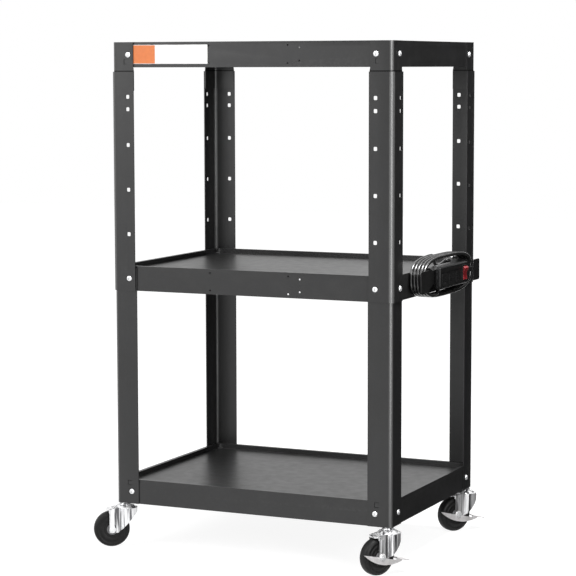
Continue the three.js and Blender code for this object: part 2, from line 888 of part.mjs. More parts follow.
function unitBracket() {
  const half = bracketHalfLength;
  const front = bracketBack + bracketSheet;
  const outline = roundedRectangle(-half, half, bracketBottom, bracketTop, bracketCorner, 3);
  const plate = toSolid(unitPlate(outline, bracketBack, front));
  return toGeometry(subtractAll(plate, unitScrewHoles(bracketBack - overrun, front + overrun)));
}

function unitScrewHoles(low, high) {
  return [-1, 1].map((side) => {
    const middle = (side * unitScrewSpan) / 2;
    return unitPlate(circle(middle, unitScrewRise, unitScrewRadius + clearance, boltSides), low, high);
  });
}

// A screw from inside the apron, through the bracket, into a blind hole in the core
function unitScrew(side) {
  const headSeat = apronX - traySheet - clearance;
  const tip = coreBack + bracketSheet + overrun;
  const screw = turnZ([
    point(0, headSeat - unitScrewHeadHeight),
    point(unitScrewHeadRadius, headSeat - unitScrewHeadHeight),
    point(unitScrewHeadRadius, headSeat),
    point(unitScrewRadius, headSeat),
    point(unitScrewRadius, tip),
    point(0, tip),
  ], boltSides).rotateY(Math.PI / 2);
  return screw.translate(0, (side * unitScrewSpan) / 2, middleBase + unitScrewRise);
}

// A dog-bone body: full height at the ends that hold the winding, slim at the waist
function coreOutline() {
  const corner = (y, z, from) => arc(y, z, coreCorner, from, from + Math.PI / 2, 3);
  const half = Math.PI / 2;
  return [
    point(-coreWaistEnd, coreWaistBottom),
    point(coreWaistEnd, coreWaistBottom),
    point(coreEndStart, coreEndBottom),
    ...corner(coreHalfLength - coreCorner, coreEndBottom + coreCorner, -half),
    ...corner(coreHalfLength - coreCorner, coreEndTop - coreCorner, 0),
    point(coreEndStart, coreEndTop),
    point(coreWaistEnd, coreWaistTop),
    point(-coreWaistEnd, coreWaistTop),
    point(-coreEndStart, coreEndTop),
    ...corner(coreCorner - coreHalfLength, coreEndTop - coreCorner, half),
    ...corner(coreCorner - coreHalfLength, coreEndBottom + coreCorner, 2 * half),
    point(-coreEndStart, coreEndBottom),
  ];
}

function unitHousing() {
  const nearWing = roundedRectangle(-nearWingEnd, -wingRootStart, wingBottom, wingTop, wingCorner, 3);
  const farWing = roundedRectangle(farWingStart, farWingEnd, wingBottom, wingTop, wingCorner, 3);
  const rootEnd = coreHalfLength - wingCorner / 2;
  const rootBottom = coreEndBottom + coreCorner;
  const rootTop = coreEndTop - coreCorner;
  const nearRoot = rectangle(-rootEnd, -wingRootStart, rootBottom, rootTop);
  const farRoot = rectangle(wingRootStart, rootEnd, rootBottom, rootTop);
  const bossBottom = exitRise - bossHalfWidth;
  const boss = rectangle(bossStart, bossStart + bossLength, bossBottom, coreWaistBottom + overrun);
  const whole = addAll([
    unitPlate(coreOutline(), coreBack, coreFront),
    unitPlate(nearWing, wingBack, wingFront),
    unitPlate(farWing, wingBack, wingFront),
    unitPlate(nearRoot, coreFront - overrun, wingBack + bracketSheet),
    unitPlate(farRoot, coreFront - overrun, wingBack + bracketSheet),
    unitPlate(boss, exitX - bossHalfWidth, exitX + bossHalfWidth),
  ]);
  const screwEnd = coreBack + bracketSheet + 2 * overrun;
  return toGeometry(subtractAll(whole, unitScrewHoles(coreBack - overrun, screwEnd)));
}

// A rectangle that clears the rocker all round
function aroundRocker(gap) {
  return rectangle(rockerCentre - rockerHalfWidth - gap, rockerCentre + rockerHalfWidth + gap,
    rockerMiddle - rockerReach - gap, rockerMiddle + rockerReach + gap);
}

// The outlet block: a bevelled face on a narrower neck, with a sunk panel that
// holds the outlets and a pocket for the switch
function unitFront() {
  const outline = roundedRectangle(frontLeft, frontRight, frontBottom, frontTop, frontCorner, 3);
  const face = roundedRectangle(frontLeft + frontBevel, frontRight - frontBevel, frontBottom + frontBevel,
    frontTop - frontBevel, frontCorner - frontBevel, 3);
  const neck = rectangle(frontLeft + neckInset, frontRight - neckInset,
    frontBottom + neckInset, frontTop - neckInset);
  const panel = rectangle(panelLeft, panelRight, panelBottom, panelTop);
  const switchPocket = aroundRocker(clearance);
  const panelFace = frontFace - panelDepth;
  const blank = addAll([
    bevelledPlate(outline, face, frontBack, frontFace - frontBevel, frontFace).translate(0, 0, middleBase),
    unitPlate(neck, coreFront + clearance, frontBack + bracketSheet),
  ]);
  const sunk = subtractAll(blank, [
    unitPlate(panel, panelFace, frontFace + overrun),
    unitPlate(switchPocket, rockerPivotX - rockerSwing - clearance, frontFace + overrun),
  ]);
  const faces = outletPlaces()
    .map((y) => unitPlate(outletOutline(y), panelFace - overrun, panelFace + outletProud));
  const raised = faces.reduce((sum, plate) => sum.add(toSolid(plate)), sunk);
  const holes = outletPlaces().flatMap(outletHoles)
    .map((hole) => unitPlate(hole, panelFace + outletProud - bladeSlotDepth, frontFace + overrun));
  return toGeometry(subtractAll(raised, holes));
}

// A plate along X whose front edge is bevelled, lofted between two like outlines
function bevelledPlate(outline, face, back, shoulder, front) {
  const count = outline.length;
  const positions = [];
  const rows = [[outline, back], [outline, shoulder], [face, front]];
  for (const [points, x] of rows) {
    for (const p of points) positions.push(x, p.x, p.y);
  }
  const index = [];
  for (let row = 0; row < rows.length - 1; row += 1) {
    for (let j = 0; j < count; j += 1) {
      const next = (j + 1) % count;
      const [a, b] = [row * count + j, row * count + next];
      const [c, d] = [(row + 1) * count + j, (row + 1) * count + next];
      index.push(a, b, d, a, d, c);
    }
  }
  const last = (rows.length - 1) * count;
  for (let j = 1; j < count - 1; j += 1) {
    index.push(0, j + 1, j);
    index.push(last, last + j, last + j + 1);
  }
  const geometry = new THREE.BufferGeometry();
  geometry.setAttribute('position', new THREE.BufferAttribute(new Float32Array(positions), 3));
  geometry.setIndex(index);
  return geometry;
}

function outletPlaces() {
  return Array.from({ length: outletCount }, (_, i) => outletFirst + i * outletPitch);
}

function outletOutline(y) {
  const middle = (panelBottom + panelTop) / 2;
  return roundedRectangle(y - outletWidth / 2, y + outletWidth / 2,
    middle - outletHeight / 2, middle + outletHeight / 2, outletCorner, 2);
}

// Each outlet has two blade slots and a round earth hole
function outletHoles(y) {
  const middle = (panelBottom + panelTop) / 2 + bladeRise;
  const slots = [-1, 1].map((side) => {
    const line = y + (side * bladeSpacing) / 2;
    return rectangle(line - bladeSlotWidth / 2, line + bladeSlotWidth / 2,
      middle - bladeSlotTall / 2, middle + bladeSlotTall / 2);
  });
  return [...slots, circle(y, middle - groundDrop, groundRadius, boltSides)];
}

// The rocker's ends are arcs about its pivot, so that it turns inside its pocket
function rockerSwitch() {
  const tip = Math.asin(rockerProud / rockerReach);
  const root = Math.asin(rockerBack / rockerReach);
  const upper = arc(0, 0, rockerReach, Math.PI / 2 - tip, Math.PI / 2 + root, 4);
  const lower = arc(0, 0, rockerReach, -Math.PI / 2 - root, -Math.PI / 2 + tip, 4);
  const outline = [point(rockerValley, 0), ...upper, ...lower];
  const rocker = extrudeY(outline, -rockerHalfWidth, rockerHalfWidth);
  return rocker.rotateY(rockerTilt).translate(rockerPivotX, rockerCentre, middleBase + rockerMiddle);
}

function switchBezel() {
  const inner = aroundRocker(clearance);
  const half = rockerHalfWidth + bezelWidth;
  const reach = rockerReach + bezelWidth;
  const outer = roundedRectangle(rockerCentre - half, rockerCentre + half,
    rockerMiddle - reach, rockerMiddle + reach, bezelCorner, 2);
  return extrudeX(outer, frontFace + clearance, frontFace + clearance + bezelProud, [inner.reverse()])
    .translate(0, 0, middleBase);
}

// Cord: one layer of turns round the core, then a tail over the lip into the tray
const cordRadius = 3.2;
const windingPitch = 6.85;
const windingStart = 0.105;
const windingEnd = 4.45;
const windingSlack = 0.6;
const windingHalfLength = coreHalfLength + clearance + windingSlack + cordRadius;
const bendWeight = 120;
const windingHalfHeight = 38.5;
const windingRoundness = 3.2;
const windingOuter = wingBack - clearance - cordRadius;
const windingStepsPerTurn = 24;
const windingFineSteps = 720;
const cordSides = 6;
const tailSides = 8;
const exitInset = 11;
const exitRise = 14;
const exitSteps = 8;
const bossStart = 10;
const bossLength = 16;
const bossHalfWidth = 5.5;
const reliefLength = 23;
const reliefBaseRadius = 4.4;
const reliefTipRadius = 3.7;
const exitX = coreFront - exitInset;

// Places on the winding by turns from the middle of its underside, first towards -Y
function windingPoint(turns) {
  const angle = 2 * Math.PI * turns;
  const power = 2 / windingRoundness;
  const across = Math.sin(angle);
  const down = Math.cos(angle);
  const y = -windingHalfLength * Math.sign(across) * Math.abs(across) ** power;
  const z = -windingHalfHeight * Math.sign(down) * Math.abs(down) ** power;
  const x = windingOuter - windingPitch * (turns - windingStart);
  return new THREE.Vector3(x, y, middleBase + coreMiddle + z);
}

// Steps along the winding, closer where it bends, so that its ends stay round
function windingPoints() {
  const turns = windingEnd - windingStart;
  const fine = [];
  const fineSteps = Math.round(turns * windingFineSteps);
  for (let i = 0; i <= fineSteps; i += 1) fine.push(windingPoint(windingStart + (turns * i) / fineSteps));
  const lengths = [0];
  for (let i = 1; i < fine.length; i += 1) {
    const here = fine[i].clone().sub(fine[i - 1]);
    const before = i > 1 ? fine[i - 1].clone().sub(fine[i - 2]) : here;
    lengths.push(lengths[i - 1] + here.length() + bendWeight * here.angleTo(before));
  }
  const total = lengths[lengths.length - 1];
  const steps = Math.round(turns * windingStepsPerTurn);
  const points = [];
  let at = 0;
  for (let i = 0; i <= steps; i += 1) {
    const wanted = (total * i) / steps;
    while (at < lengths.length - 2 && lengths[at + 1] < wanted) at += 1;
    const share = (wanted - lengths[at]) / (lengths[at + 1] - lengths[at]);
    points.push(fine[at].clone().lerp(fine[at + 1], share));
  }
  return points;
}

// From the strain relief under the core the cord runs out to the first turn. Its
// stops are measured from the exit and the middle tray's lower edge.
const exitStops = [[7.5, -44, 10], [12.8, -66, 5], [14.2, -84, 2.4]];

function exitRoute(winding) {
  const tip = bossStart - 2 * clearance - reliefLength;
  const height = middleBase + exitRise;
  const chosen = [
    new THREE.Vector3(exitX, tip, height),
    new THREE.Vector3(exitX, tip - 2 * cordRadius, height),
    ...exitStops.map(([x, y, z]) => new THREE.Vector3(exitX + x, y, middleBase + z)),
  ];
  const curve = new THREE.CatmullRomCurve3([...chosen, winding[0], winding[1]], false, 'centripetal');
  const reach = chosen.length / (chosen.length + 1);
  const points = [chosen[0]];
  const first = 1 / (chosen.length + 1);
  for (let i = 0; i < exitSteps; i += 1) {
    points.push(curve.getPoint(first + ((reach - first) * i) / exitSteps));
  }
  return points;
}

function windingRoute() {
  const points = windingPoints();
  const count = points.length;
  const run = points[count - 1].clone().sub(points[count - 2]).setLength(2 * cordRadius);
  const end = points[count - 1].clone().add(run);
  return [...exitRoute(points), ...points, end];
}

// A tube along points, with a frame carried along it so that it doesn't twist
function tube(points, radius, sides) {
  const tangents = points.map((p, i) => {
    const before = points[Math.max(0, i - 1)];
    const after = points[Math.min(points.length - 1, i + 1)];
    return after.clone().sub(before).normalize();
  });
  const positions = [];
  let side = new THREE.Vector3(1, 0, 0);
  points.forEach((p, i) => {
    side = side.clone().addScaledVector(tangents[i], -side.dot(tangents[i])).normalize();
    const up = new THREE.Vector3().crossVectors(tangents[i], side);
    for (let k = 0; k < sides; k += 1) {
      const angle = (2 * Math.PI * k) / sides;
      const place = p.clone()
        .addScaledVector(side, radius * Math.cos(angle))
        .addScaledVector(up, radius * Math.sin(angle));
      positions.push(place.x, place.y, place.z);
    }
  });
  const index = [];
  for (let i = 0; i < points.length - 1; i += 1) {
    for (let k = 0; k < sides; k += 1) {
      const next = (k + 1) % sides;
      const [a, b] = [i * sides + k, i * sides + next];
      const [c, d] = [(i + 1) * sides + k, (i + 1) * sides + next];
      index.push(a, b, d, a, d, c);
    }
  }
  const last = (points.length - 1) * sides;
  for (let k = 1; k < sides - 1; k += 1) {
    index.push(0, k + 1, k);
    index.push(last, last + k, last + k + 1);
  }
  const geometry = new THREE.BufferGeometry();
  geometry.setAttribute('position', new THREE.BufferAttribute(new Float32Array(positions), 3));
  geometry.setIndex(index);
  return geometry;
}

// Least gap between parts of the winding that lie more than half a turn apart
function leastSelfGap(points) {
  const half = Math.round(windingStepsPerTurn / 2);
  let least = Infinity;
  for (let i = 0; i < points.length - 1; i += 1) {
    for (let j = i + half; j < points.length - 1; j += 1) {
      const stretch = new THREE.Line3(points[j], points[j + 1]);
      const nearest = stretch.closestPointToPoint(points[i], true, new THREE.Vector3());
      least = Math.min(least, nearest.distanceTo(points[i]) - 2 * cordRadius);
    }
  }
  return least;
}

function strainRelief() {
  const profile = [
    point(0, 0),
    point(reliefBaseRadius, 0),
    point(reliefTipRadius, reliefLength),
    point(0, reliefLength),
  ];
  return turnY(profile, boltSides).rotateZ(Math.PI)
    .translate(exitX, bossStart - clearance, middleBase + exitRise);
}

// The tail's route, from the end of the winding to the plug on the tray
const plugInset = 22.5;
const plugStart = 128;
const plugLength = 38;
const plugHalfWidth = 13;
const plugHeight = 20;
const plugNeckHalf = 6;
const plugNeckLength = 10;
const bladeLength = 17;
const bladeThickness = 1.5;
const bladeTall = 6.4;
const earthPinRadius = 2.4;
const earthPinOffset = 5.4;
const bladeOffset = 4.2;

const trayFloor = middleBase + traySurface;
const plugMiddle = trayFloor + clearance + plugHeight / 2;
const plugX = apronX - plugInset;

// Stops of the tail, from the apron's face and the middle tray's lower edge
const tailStops = [
  [2.3, -30, 75.6],
  [-2, -4, 74],
  [-9.5, 20, 68],
  [-16.5, 43, 57.5],
  [-21, 66, 48.5],
  [-22.5, 92, 45.7],
];

function tailRoute() {
  const winding = windingRoute();
  const end = winding[winding.length - 1];
  const way = end.clone().sub(winding[winding.length - 2]).normalize();
  const start = end.clone().addScaledVector(way, clearance);
  const chosen = [
    start,
    start.clone().addScaledVector(way, 2 * cordRadius),
    ...tailStops.map(([x, y, z]) => new THREE.Vector3(apronX + x, y, middleBase + z)),
    new THREE.Vector3(plugX, plugStart - clearance - 2 * cordRadius, plugMiddle),
    new THREE.Vector3(plugX, plugStart - clearance, plugMiddle),
  ];
  return new THREE.CatmullRomCurve3(chosen, false, 'centripetal').getSpacedPoints(24);
}

// The plug's body, with two flat blades and a round earth pin moulded in
function plug() {
  const shoulder = plugStart + plugNeckLength;
  const face = plugStart + plugLength;
  const plan = [
    point(plugX - plugNeckHalf, plugStart),
    point(plugX + plugNeckHalf, plugStart),
    point(plugX + plugHalfWidth, shoulder),
    point(plugX + plugHalfWidth, face),
    point(plugX - plugHalfWidth, face),
    point(plugX - plugHalfWidth, shoulder),
  ];
  const height = plugMiddle + bladeOffset;
  const blades = [-1, 1].map((side) => {
    const x = plugX + (side * bladeSpacing) / 2;
    return box(x - bladeThickness / 2, x + bladeThickness / 2, face - overrun, face + bladeLength,
      height - bladeTall / 2, height + bladeTall / 2);
  });
  const pin = extrudeY(circle(plugX, plugMiddle - earthPinOffset, earthPinRadius, boltSides),
    face - overrun, face + bladeLength);
  const body = extrudeZ(plan, plugMiddle - plugHeight / 2, plugMiddle + plugHeight / 2);
  return toGeometry(addAll([body, ...blades, pin]));
}

for (const corner of corners) {
  addMesh(root, `lower_leg_${corner.name}`, lowerLeg(corner), powderCoat);
  addMesh(root, `outer_leg_${corner.name}`, outerLeg(corner), powderCoat);
  addMesh(root, `top_post_${corner.name}`, topPost(corner), powderCoat);
}
const middleScrewHoles = unitScrewHoles(apronX - rimWidth / 2, apronX + overrun)
  .map((tool) => tool.translate(0, 0, -middleBase));
addMesh(root, 'bottom_shelf', tray(legBottom, []), powderCoat);
addMesh(root, 'middle_shelf', tray(middleBase, [...lipHoles(), ...middleScrewHoles]), powderCoat);
addMesh(root, 'top_shelf', tray(topBase, lipHoles()), powderCoat);
casters.forEach(addCaster);

addMesh(root, 'unit_bracket', unitBracket(), powderCoat);
addMesh(root, 'unit_screw_near', unitScrew(-1), zinc);
addMesh(root, 'unit_screw_far', unitScrew(1), zinc);
addMesh(root, 'unit_housing', unitHousing(), blackPlastic);
addMesh(root, 'unit_front', unitFront(), blackPlastic);
addMesh(root, 'rocker_switch', rockerSwitch(), redPlastic);
addMesh(root, 'switch_bezel', switchBezel(), blackPlastic);
addMesh(root, 'strain_relief', strainRelief(), blackPlastic);
addMesh(root, 'cord_winding', tube(windingRoute(), cordRadius, cordSides), blackPlastic);
addMesh(root, 'cord_tail', tube(tailRoute(), cordRadius, tailSides), blackPlastic);
addMesh(root, 'plug', plug(), blackPlastic);

console.log(`least gap between the turns of the winding: ${leastSelfGap(windingRoute()).toFixed(2)} mm`);

export default root;
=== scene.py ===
# Rolling audio visual cart with a side power unit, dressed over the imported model.
# Metres, Z up, X to the right along the trays, Y to the back, origin on the floor.
# The looks below are in millimetres, apart from the camera, the lamps and the cards.
import bpy
import bmesh
import json
import math
from mathutils import Matrix, Vector

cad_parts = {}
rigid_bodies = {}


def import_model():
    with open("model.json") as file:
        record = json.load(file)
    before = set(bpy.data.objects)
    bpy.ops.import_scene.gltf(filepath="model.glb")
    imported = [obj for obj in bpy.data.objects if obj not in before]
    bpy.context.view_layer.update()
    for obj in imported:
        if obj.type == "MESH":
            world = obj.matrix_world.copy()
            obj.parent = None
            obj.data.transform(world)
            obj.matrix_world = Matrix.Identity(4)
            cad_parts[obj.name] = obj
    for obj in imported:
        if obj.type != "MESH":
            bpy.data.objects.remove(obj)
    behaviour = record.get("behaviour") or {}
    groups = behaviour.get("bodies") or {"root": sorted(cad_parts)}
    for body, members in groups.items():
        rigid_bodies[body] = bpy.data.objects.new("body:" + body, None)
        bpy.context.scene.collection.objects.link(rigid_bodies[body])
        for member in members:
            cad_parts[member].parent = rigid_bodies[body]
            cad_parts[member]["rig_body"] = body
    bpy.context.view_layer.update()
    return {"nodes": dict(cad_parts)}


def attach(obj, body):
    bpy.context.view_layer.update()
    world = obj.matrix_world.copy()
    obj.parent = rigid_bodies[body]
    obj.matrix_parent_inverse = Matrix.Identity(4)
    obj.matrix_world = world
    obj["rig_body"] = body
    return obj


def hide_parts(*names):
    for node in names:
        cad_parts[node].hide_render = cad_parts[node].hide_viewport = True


for leftover in list(bpy.data.objects):
    bpy.data.objects.remove(leftover)

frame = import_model()
nodes = frame["nodes"]
mm = 0.001
print("frame loaded:", len(nodes), "nodes")

# Cart measures, the same as the solids
cart = {
    "halfWidth": 304.8, "halfDepth": 228.6, "base": 92, "sleeveStep": 2.3, "lipFace": 226.3,
    "bolts": (269.8, 193.6), "boltHeights": {"bottom": 117.2, "middle": 557.2, "top": 1008.9},
}
corners = {"front_left": (-1, -1), "front_right": (1, -1), "back_left": (-1, 1), "back_right": (1, 1)}


# Helpers for meshes and objects
def inScene(name, data):
    piece = bpy.data.objects.new(name, data)
    bpy.context.scene.collection.objects.link(piece)
    return piece


def addObject(name, mesh, material, place=None, body="frame"):
    piece = inScene(name, mesh)
    if not mesh.materials:
        mesh.materials.append(material)
    if place is not None:
        piece.matrix_world = place
    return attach(piece, body)


def moved(x, y, z):
    return Matrix.Translation(Vector((x, y, z)) * mm)


def rotated(degrees, axis):
    return Matrix.Rotation(math.radians(degrees), 4, axis)


def meshFrom(name, points, faces, smooth=True):
    mesh = bpy.data.meshes.new(name)
    mesh.from_pydata([Vector(p) * mm for p in points], [], faces)
    mesh.update()
    for face in mesh.polygons:
        face.use_smooth = smooth
    return mesh


def closedMesh(name, points, faces, sharpAngle=None):
    mesh = meshFrom(name, points, faces)
    shape = bmesh.new()
    shape.from_mesh(mesh)
    bmesh.ops.recalc_face_normals(shape, faces=shape.faces)
    shape.to_mesh(mesh)
    shape.free()
    if sharpAngle is not None:
        mesh.set_sharp_from_angle(angle=math.radians(sharpAngle))
    return mesh


def joined(name, parts):
    shape = bmesh.new()
    for part in parts:
        shape.from_mesh(part)
    mesh = bpy.data.meshes.new(name)
    shape.to_mesh(mesh)
    shape.free()
    return mesh


def turned(name, profile, sides, sharpAngle=35):
    # A shape turned about Z from (radius, height) pairs; a zero radius closes the end
    points, rings, faces = [], [], []
    for radius, height in profile:
        around = sides if radius else 1
        rings.append(list(range(len(points), len(points) + around)))
        for k in range(around):
            a = 2 * math.pi * k / sides
            points.append((radius * math.cos(a), radius * math.sin(a), height))
    pairs = list(zip(rings, rings[1:]))
    if profile[0][0] > 0 and profile[-1][0] > 0:
        pairs.append((rings[-1], rings[0]))
    for low, high in pairs:
        for k in range(sides):
            n = (k + 1) % sides
            if len(low) == 1:
                faces.append((low[0], high[n], high[k]))
            elif len(high) == 1:
                faces.append((low[k], low[n], high[0]))
            else:
                faces.append((low[k], low[n], high[n], high[k]))
    return closedMesh(name, points, faces, sharpAngle)


def mirrored(half):
    # A turned profile from its upper half, where heights are from the middle
    return [(radius, -height) for radius, height in reversed(half) if height] + half


def roundedOutline(a0, a1, b0, b1, radius, steps=6):
    outline = []
    for ca, cb, start in ((a1 - radius, b0 + radius, -90), (a1 - radius, b1 - radius, 0),
                          (a0 + radius, b1 - radius, 90), (a0 + radius, b0 + radius, 180)):
        for i in range(steps + 1):
            angle = math.radians(start + 90 * i / steps)
            outline.append((ca + radius * math.cos(angle), cb + radius * math.sin(angle)))
    return outline


def hexagon(radius, turn=0):
    angles = [math.radians(60 * k + turn) for k in range(6)]
    return [(radius * math.cos(angle), radius * math.sin(angle)) for angle in angles]


def slab(name, outline, low, high, lay="xy"):
    # A flat prism; lay says which plane the outline lies in, and the rest is the thickness
    put = {"xy": lambda a, b, c: (a, b, c), "xz": lambda a, b, c: (a, c, b),
           "yz": lambda a, b, c: (c, a, b)}[lay]
    n = len(outline)
    points = [put(a, b, level) for level in (low, high) for a, b in outline]
    faces = [tuple(range(n)), tuple(range(n, 2 * n))]
    faces += [(i, (i + 1) % n, n + (i + 1) % n, n + i) for i in range(n)]
    return closedMesh(name, points, faces)


def softenEdges(piece, width, angle=32, segments=2):
    edge = piece.modifiers.new("edge rounding", "BEVEL")
    edge.width = width * mm
    edge.segments = segments
    edge.limit_method = "ANGLE"
    edge.angle_limit = math.radians(angle)
    edge.harden_normals = True
    edge.miter_outer = "MITER_ARC"
    return piece


# Points this near are one, and faces within this many degrees are one flat
weldGap, flatAngle = 0.004, 0.6


def dressed(nodeName, finish, slotName, edge, angle=32, segments=2):
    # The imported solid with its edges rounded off, standing for its node
    source = nodes[nodeName].data
    mesh = bpy.data.meshes.new(nodeName + "_dressed")
    mesh.from_pydata([v.co for v in source.vertices], [], [tuple(p.vertices) for p in source.polygons])
    shape = bmesh.new()
    shape.from_mesh(mesh)
    bmesh.ops.remove_doubles(shape, verts=shape.verts, dist=weldGap * mm)
    bmesh.ops.dissolve_limit(shape, angle_limit=math.radians(flatAngle), verts=shape.verts, edges=shape.edges)
    manySided = [face for face in shape.faces if len(face.verts) > 4]
    bmesh.ops.triangulate(shape, faces=manySided, ngon_method="BEAUTY")
    for face in shape.faces:
        face.smooth = True
    shape.to_mesh(mesh)
    shape.free()
    piece = addObject(nodeName + "_dressed", mesh, finish, body=nodes[nodeName]["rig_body"])
    softenEdges(piece, edge, angle, segments)
    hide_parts(nodeName)
    return piece


# Camera at the photograph's angle, turned about its own Z, X and Z
cameraView = {"lens": 132.213, "sensor": 36, "clipEnd": 60, "place": (1.81807, -3.97811, 0.98612),
              "turns": ((24.814, "Z"), (84.006, "X"), (-0.116, "Z"))}


def photoCamera():
    data = bpy.data.cameras.new("cartCamera")
    data.lens = cameraView["lens"]
    data.sensor_width = cameraView["sensor"]
    data.clip_end = cameraView["clipEnd"]
    camera = inScene("cartCamera", data)
    place = Matrix.Translation(cameraView["place"])
    for degrees, axis in cameraView["turns"]:
        place = place @ rotated(degrees, axis)
    camera.matrix_world = place
    bpy.context.scene.camera = camera


photoCamera()


# Helpers for finishes
def newFinish(name):
    finish = bpy.data.materials.new(name)
    finish.use_nodes = True
    tree = finish.node_tree
    where = tree.nodes.new("ShaderNodeTexCoord")
    return finish, tree, tree.nodes["Principled BSDF"], where.outputs["Object"]


def grain(tree, where, size, detail, stretch=None):
    # Noise whose features are about size millimetres across
    if stretch:
        mapping = tree.nodes.new("ShaderNodeMapping")
        mapping.inputs["Scale"].default_value = stretch
        tree.links.new(where, mapping.inputs["Vector"])
        where = mapping.outputs["Vector"]
    noise = tree.nodes.new("ShaderNodeTexNoise")
    noise.inputs["Scale"].default_value = 1 / (size * mm)
    noise.inputs["Detail"].default_value = detail
    tree.links.new(where, noise.inputs["Vector"])
    return noise.outputs["Fac"]


def spread(tree, source, low, high, fromLow=0.3, fromHigh=0.7):
    reach = tree.nodes.new("ShaderNodeMapRange")
    reach.inputs["From Min"].default_value = fromLow
    reach.inputs["From Max"].default_value = fromHigh
    reach.inputs["To Min"].default_value = low
    reach.inputs["To Max"].default_value = high
    tree.links.new(source, reach.inputs["Value"])
    return reach.outputs["Result"]


def patches(tree, where, low, high, size, detail, *window):
    # Noise spread between two values; the window says which part of the noise it uses
    return spread(tree, grain(tree, where, size, detail), low, high, *window)


def blendColours(tree, share, first, second):
    mix = tree.nodes.new("ShaderNodeMix")
    mix.data_type = "RGBA"
    tree.links.new(share, mix.inputs["Factor"])
    for socket, colour in ((mix.inputs[6], first), (mix.inputs[7], second)):
        if isinstance(colour, tuple):
            socket.default_value = (*colour, 1)
        else:
            tree.links.new(colour, socket)
    return mix.outputs[2]


def combine(tree, operation, first, second):
    maths = tree.nodes.new("ShaderNodeMath")
    maths.operation = operation
    tree.links.new(first, maths.inputs[0])
    if isinstance(second, (int, float)):
        maths.inputs[1].default_value = second
    else:
        tree.links.new(second, maths.inputs[1])
    return maths.outputs[0]


def multiply(tree, first, second):
    return combine(tree, "MULTIPLY", first, second)


def bumps(tree, shader, layers):
    # layers are (height, strength, depth in millimetres), each over the one before
    last = None
    for height, strength, depth in layers:
        bump = tree.nodes.new("ShaderNodeBump")
        bump.inputs["Strength"].default_value = strength
        bump.inputs["Distance"].default_value = depth * mm
        tree.links.new(height, bump.inputs["Height"])
        if last is not None:
            tree.links.new(last, bump.inputs["Normal"])
        last = bump.outputs["Normal"]
    tree.links.new(last, shader.inputs["Normal"])


def edgeMask(tree, low, high):
    # Where the surface turns outward, for rubbed edges
    surface = tree.nodes.new("ShaderNodeNewGeometry")
    return spread(tree, surface.outputs["Pointiness"], 0, 1, low, high)


def rubbedEdges(tree, where, look):
    worn = patches(tree, where, 0, look["rub"], *look["rubPatches"])
    return multiply(tree, edgeMask(tree, *look["rubEdge"]), worn)


def beyond(tree, where, axis, start, fade):
    # Rises from 0 to 1 past start millimetres from the middle, or falls to 0 where fade is negative
    apart = tree.nodes.new("ShaderNodeSeparateXYZ")
    tree.links.new(where, apart.inputs[0])
    size = tree.nodes.new("ShaderNodeMath")
    size.operation = "ABSOLUTE"
    tree.links.new(apart.outputs[axis], size.inputs[0])
    return spread(tree, size.outputs[0], 0, 1, start * mm, (start + fade) * mm)


def setColour(tree, shader, colour):
    tree.links.new(colour, shader.inputs["Base Color"])


def setGloss(tree, shader, where, look):
    rough = patches(tree, where, *look["gloss"], *look["glossPatches"])
    tree.links.new(rough, shader.inputs["Roughness"])


def setTexture(tree, shader, where, look):
    bumps(tree, shader, [(grain(tree, where, size, detail), strength, depth)
                         for size, detail, strength, depth in look["texture"]])


def powderCoat(name, look):
    finish, tree, shader, where = newFinish(name)
    colour = blendColours(tree, patches(tree, where, 0, 1, *look["clouds"]), look["shade"], look["tint"])
    colour = blendColours(tree, rubbedEdges(tree, where, look), colour, look["rubTint"])
    # Painted highlight: the leg's fold is lightened in colour, and its specular raised below, to stand in for
    # the light it catches
    paintedBendHighlight = multiply(tree, *(beyond(tree, where, axis, start, look["paintedHighlightFade"])
                            for axis, start in zip("XY", look["paintedBendHighlight"])))
    colour = blendColours(tree, paintedBendHighlight, colour, look["paintedHighlightTint"])
    dust = patches(tree, where, 0, look["dust"], *look["dustPatches"])
    colour = blendColours(tree, dust, colour, look["dustTint"])
    # Painted shadow: a black band with less specular just above the sleeves' tops, for the shade in the gap
    # there
    low, high = look["paintedSeamShadow"]
    paintedSeamShadow = multiply(tree, beyond(tree, where, "Z", low, look["seamShadowFade"]),
                    beyond(tree, where, "Z", high, -look["seamShadowFade"]))
    setColour(tree, shader, blendColours(tree, paintedSeamShadow, colour, (0, 0, 0)))
    setGloss(tree, shader, where, look)
    sheen = spread(tree, paintedBendHighlight, look["specular"], look["bendSpecular"], 0, 1)
    seamSheen = spread(tree, paintedSeamShadow, 1, look["seamSheen"], 0, 1)
    tree.links.new(multiply(tree, sheen, seamSheen), shader.inputs["Specular IOR Level"])
    setTexture(tree, shader, where, look)
    return finish


def platedMetal(name, look):
    finish, tree, shader, where = newFinish(name)
    # For the chrome this colour holds painted reflections: dark streaks for the dark surroundings it mirrors
    clouds = grain(tree, where, look["cloudSize"], look["cloudDetail"], look["paintedReflectionStreaks"])
    share = spread(tree, clouds, 0, 1, *look["bands"])
    setColour(tree, shader, blendColours(tree, share, look["shade"], look["tint"]))
    drawn = grain(tree, where, look["lineSize"], look["lineDetail"], look["stretch"])
    tree.links.new(spread(tree, drawn, *look["gloss"]), shader.inputs["Roughness"])
    shader.inputs["Metallic"].default_value = look["metal"]
    bumps(tree, shader, [(drawn, look["lines"], look["lineDepth"])])
    return finish


def mouldedPlastic(name, look):
    finish, tree, shader, where = newFinish(name)
    colour = blendColours(tree, patches(tree, where, 0, 1, *look["clouds"]), look["shade"], look["tint"])
    setColour(tree, shader, blendColours(tree, rubbedEdges(tree, where, look), colour, look["rubTint"]))
    setGloss(tree, shader, where, look)
    shader.inputs["Specular IOR Level"].default_value = look["specular"]
    shader.inputs["Coat Weight"].default_value = look["coat"]
    setTexture(tree, shader, where, look)
    return finish


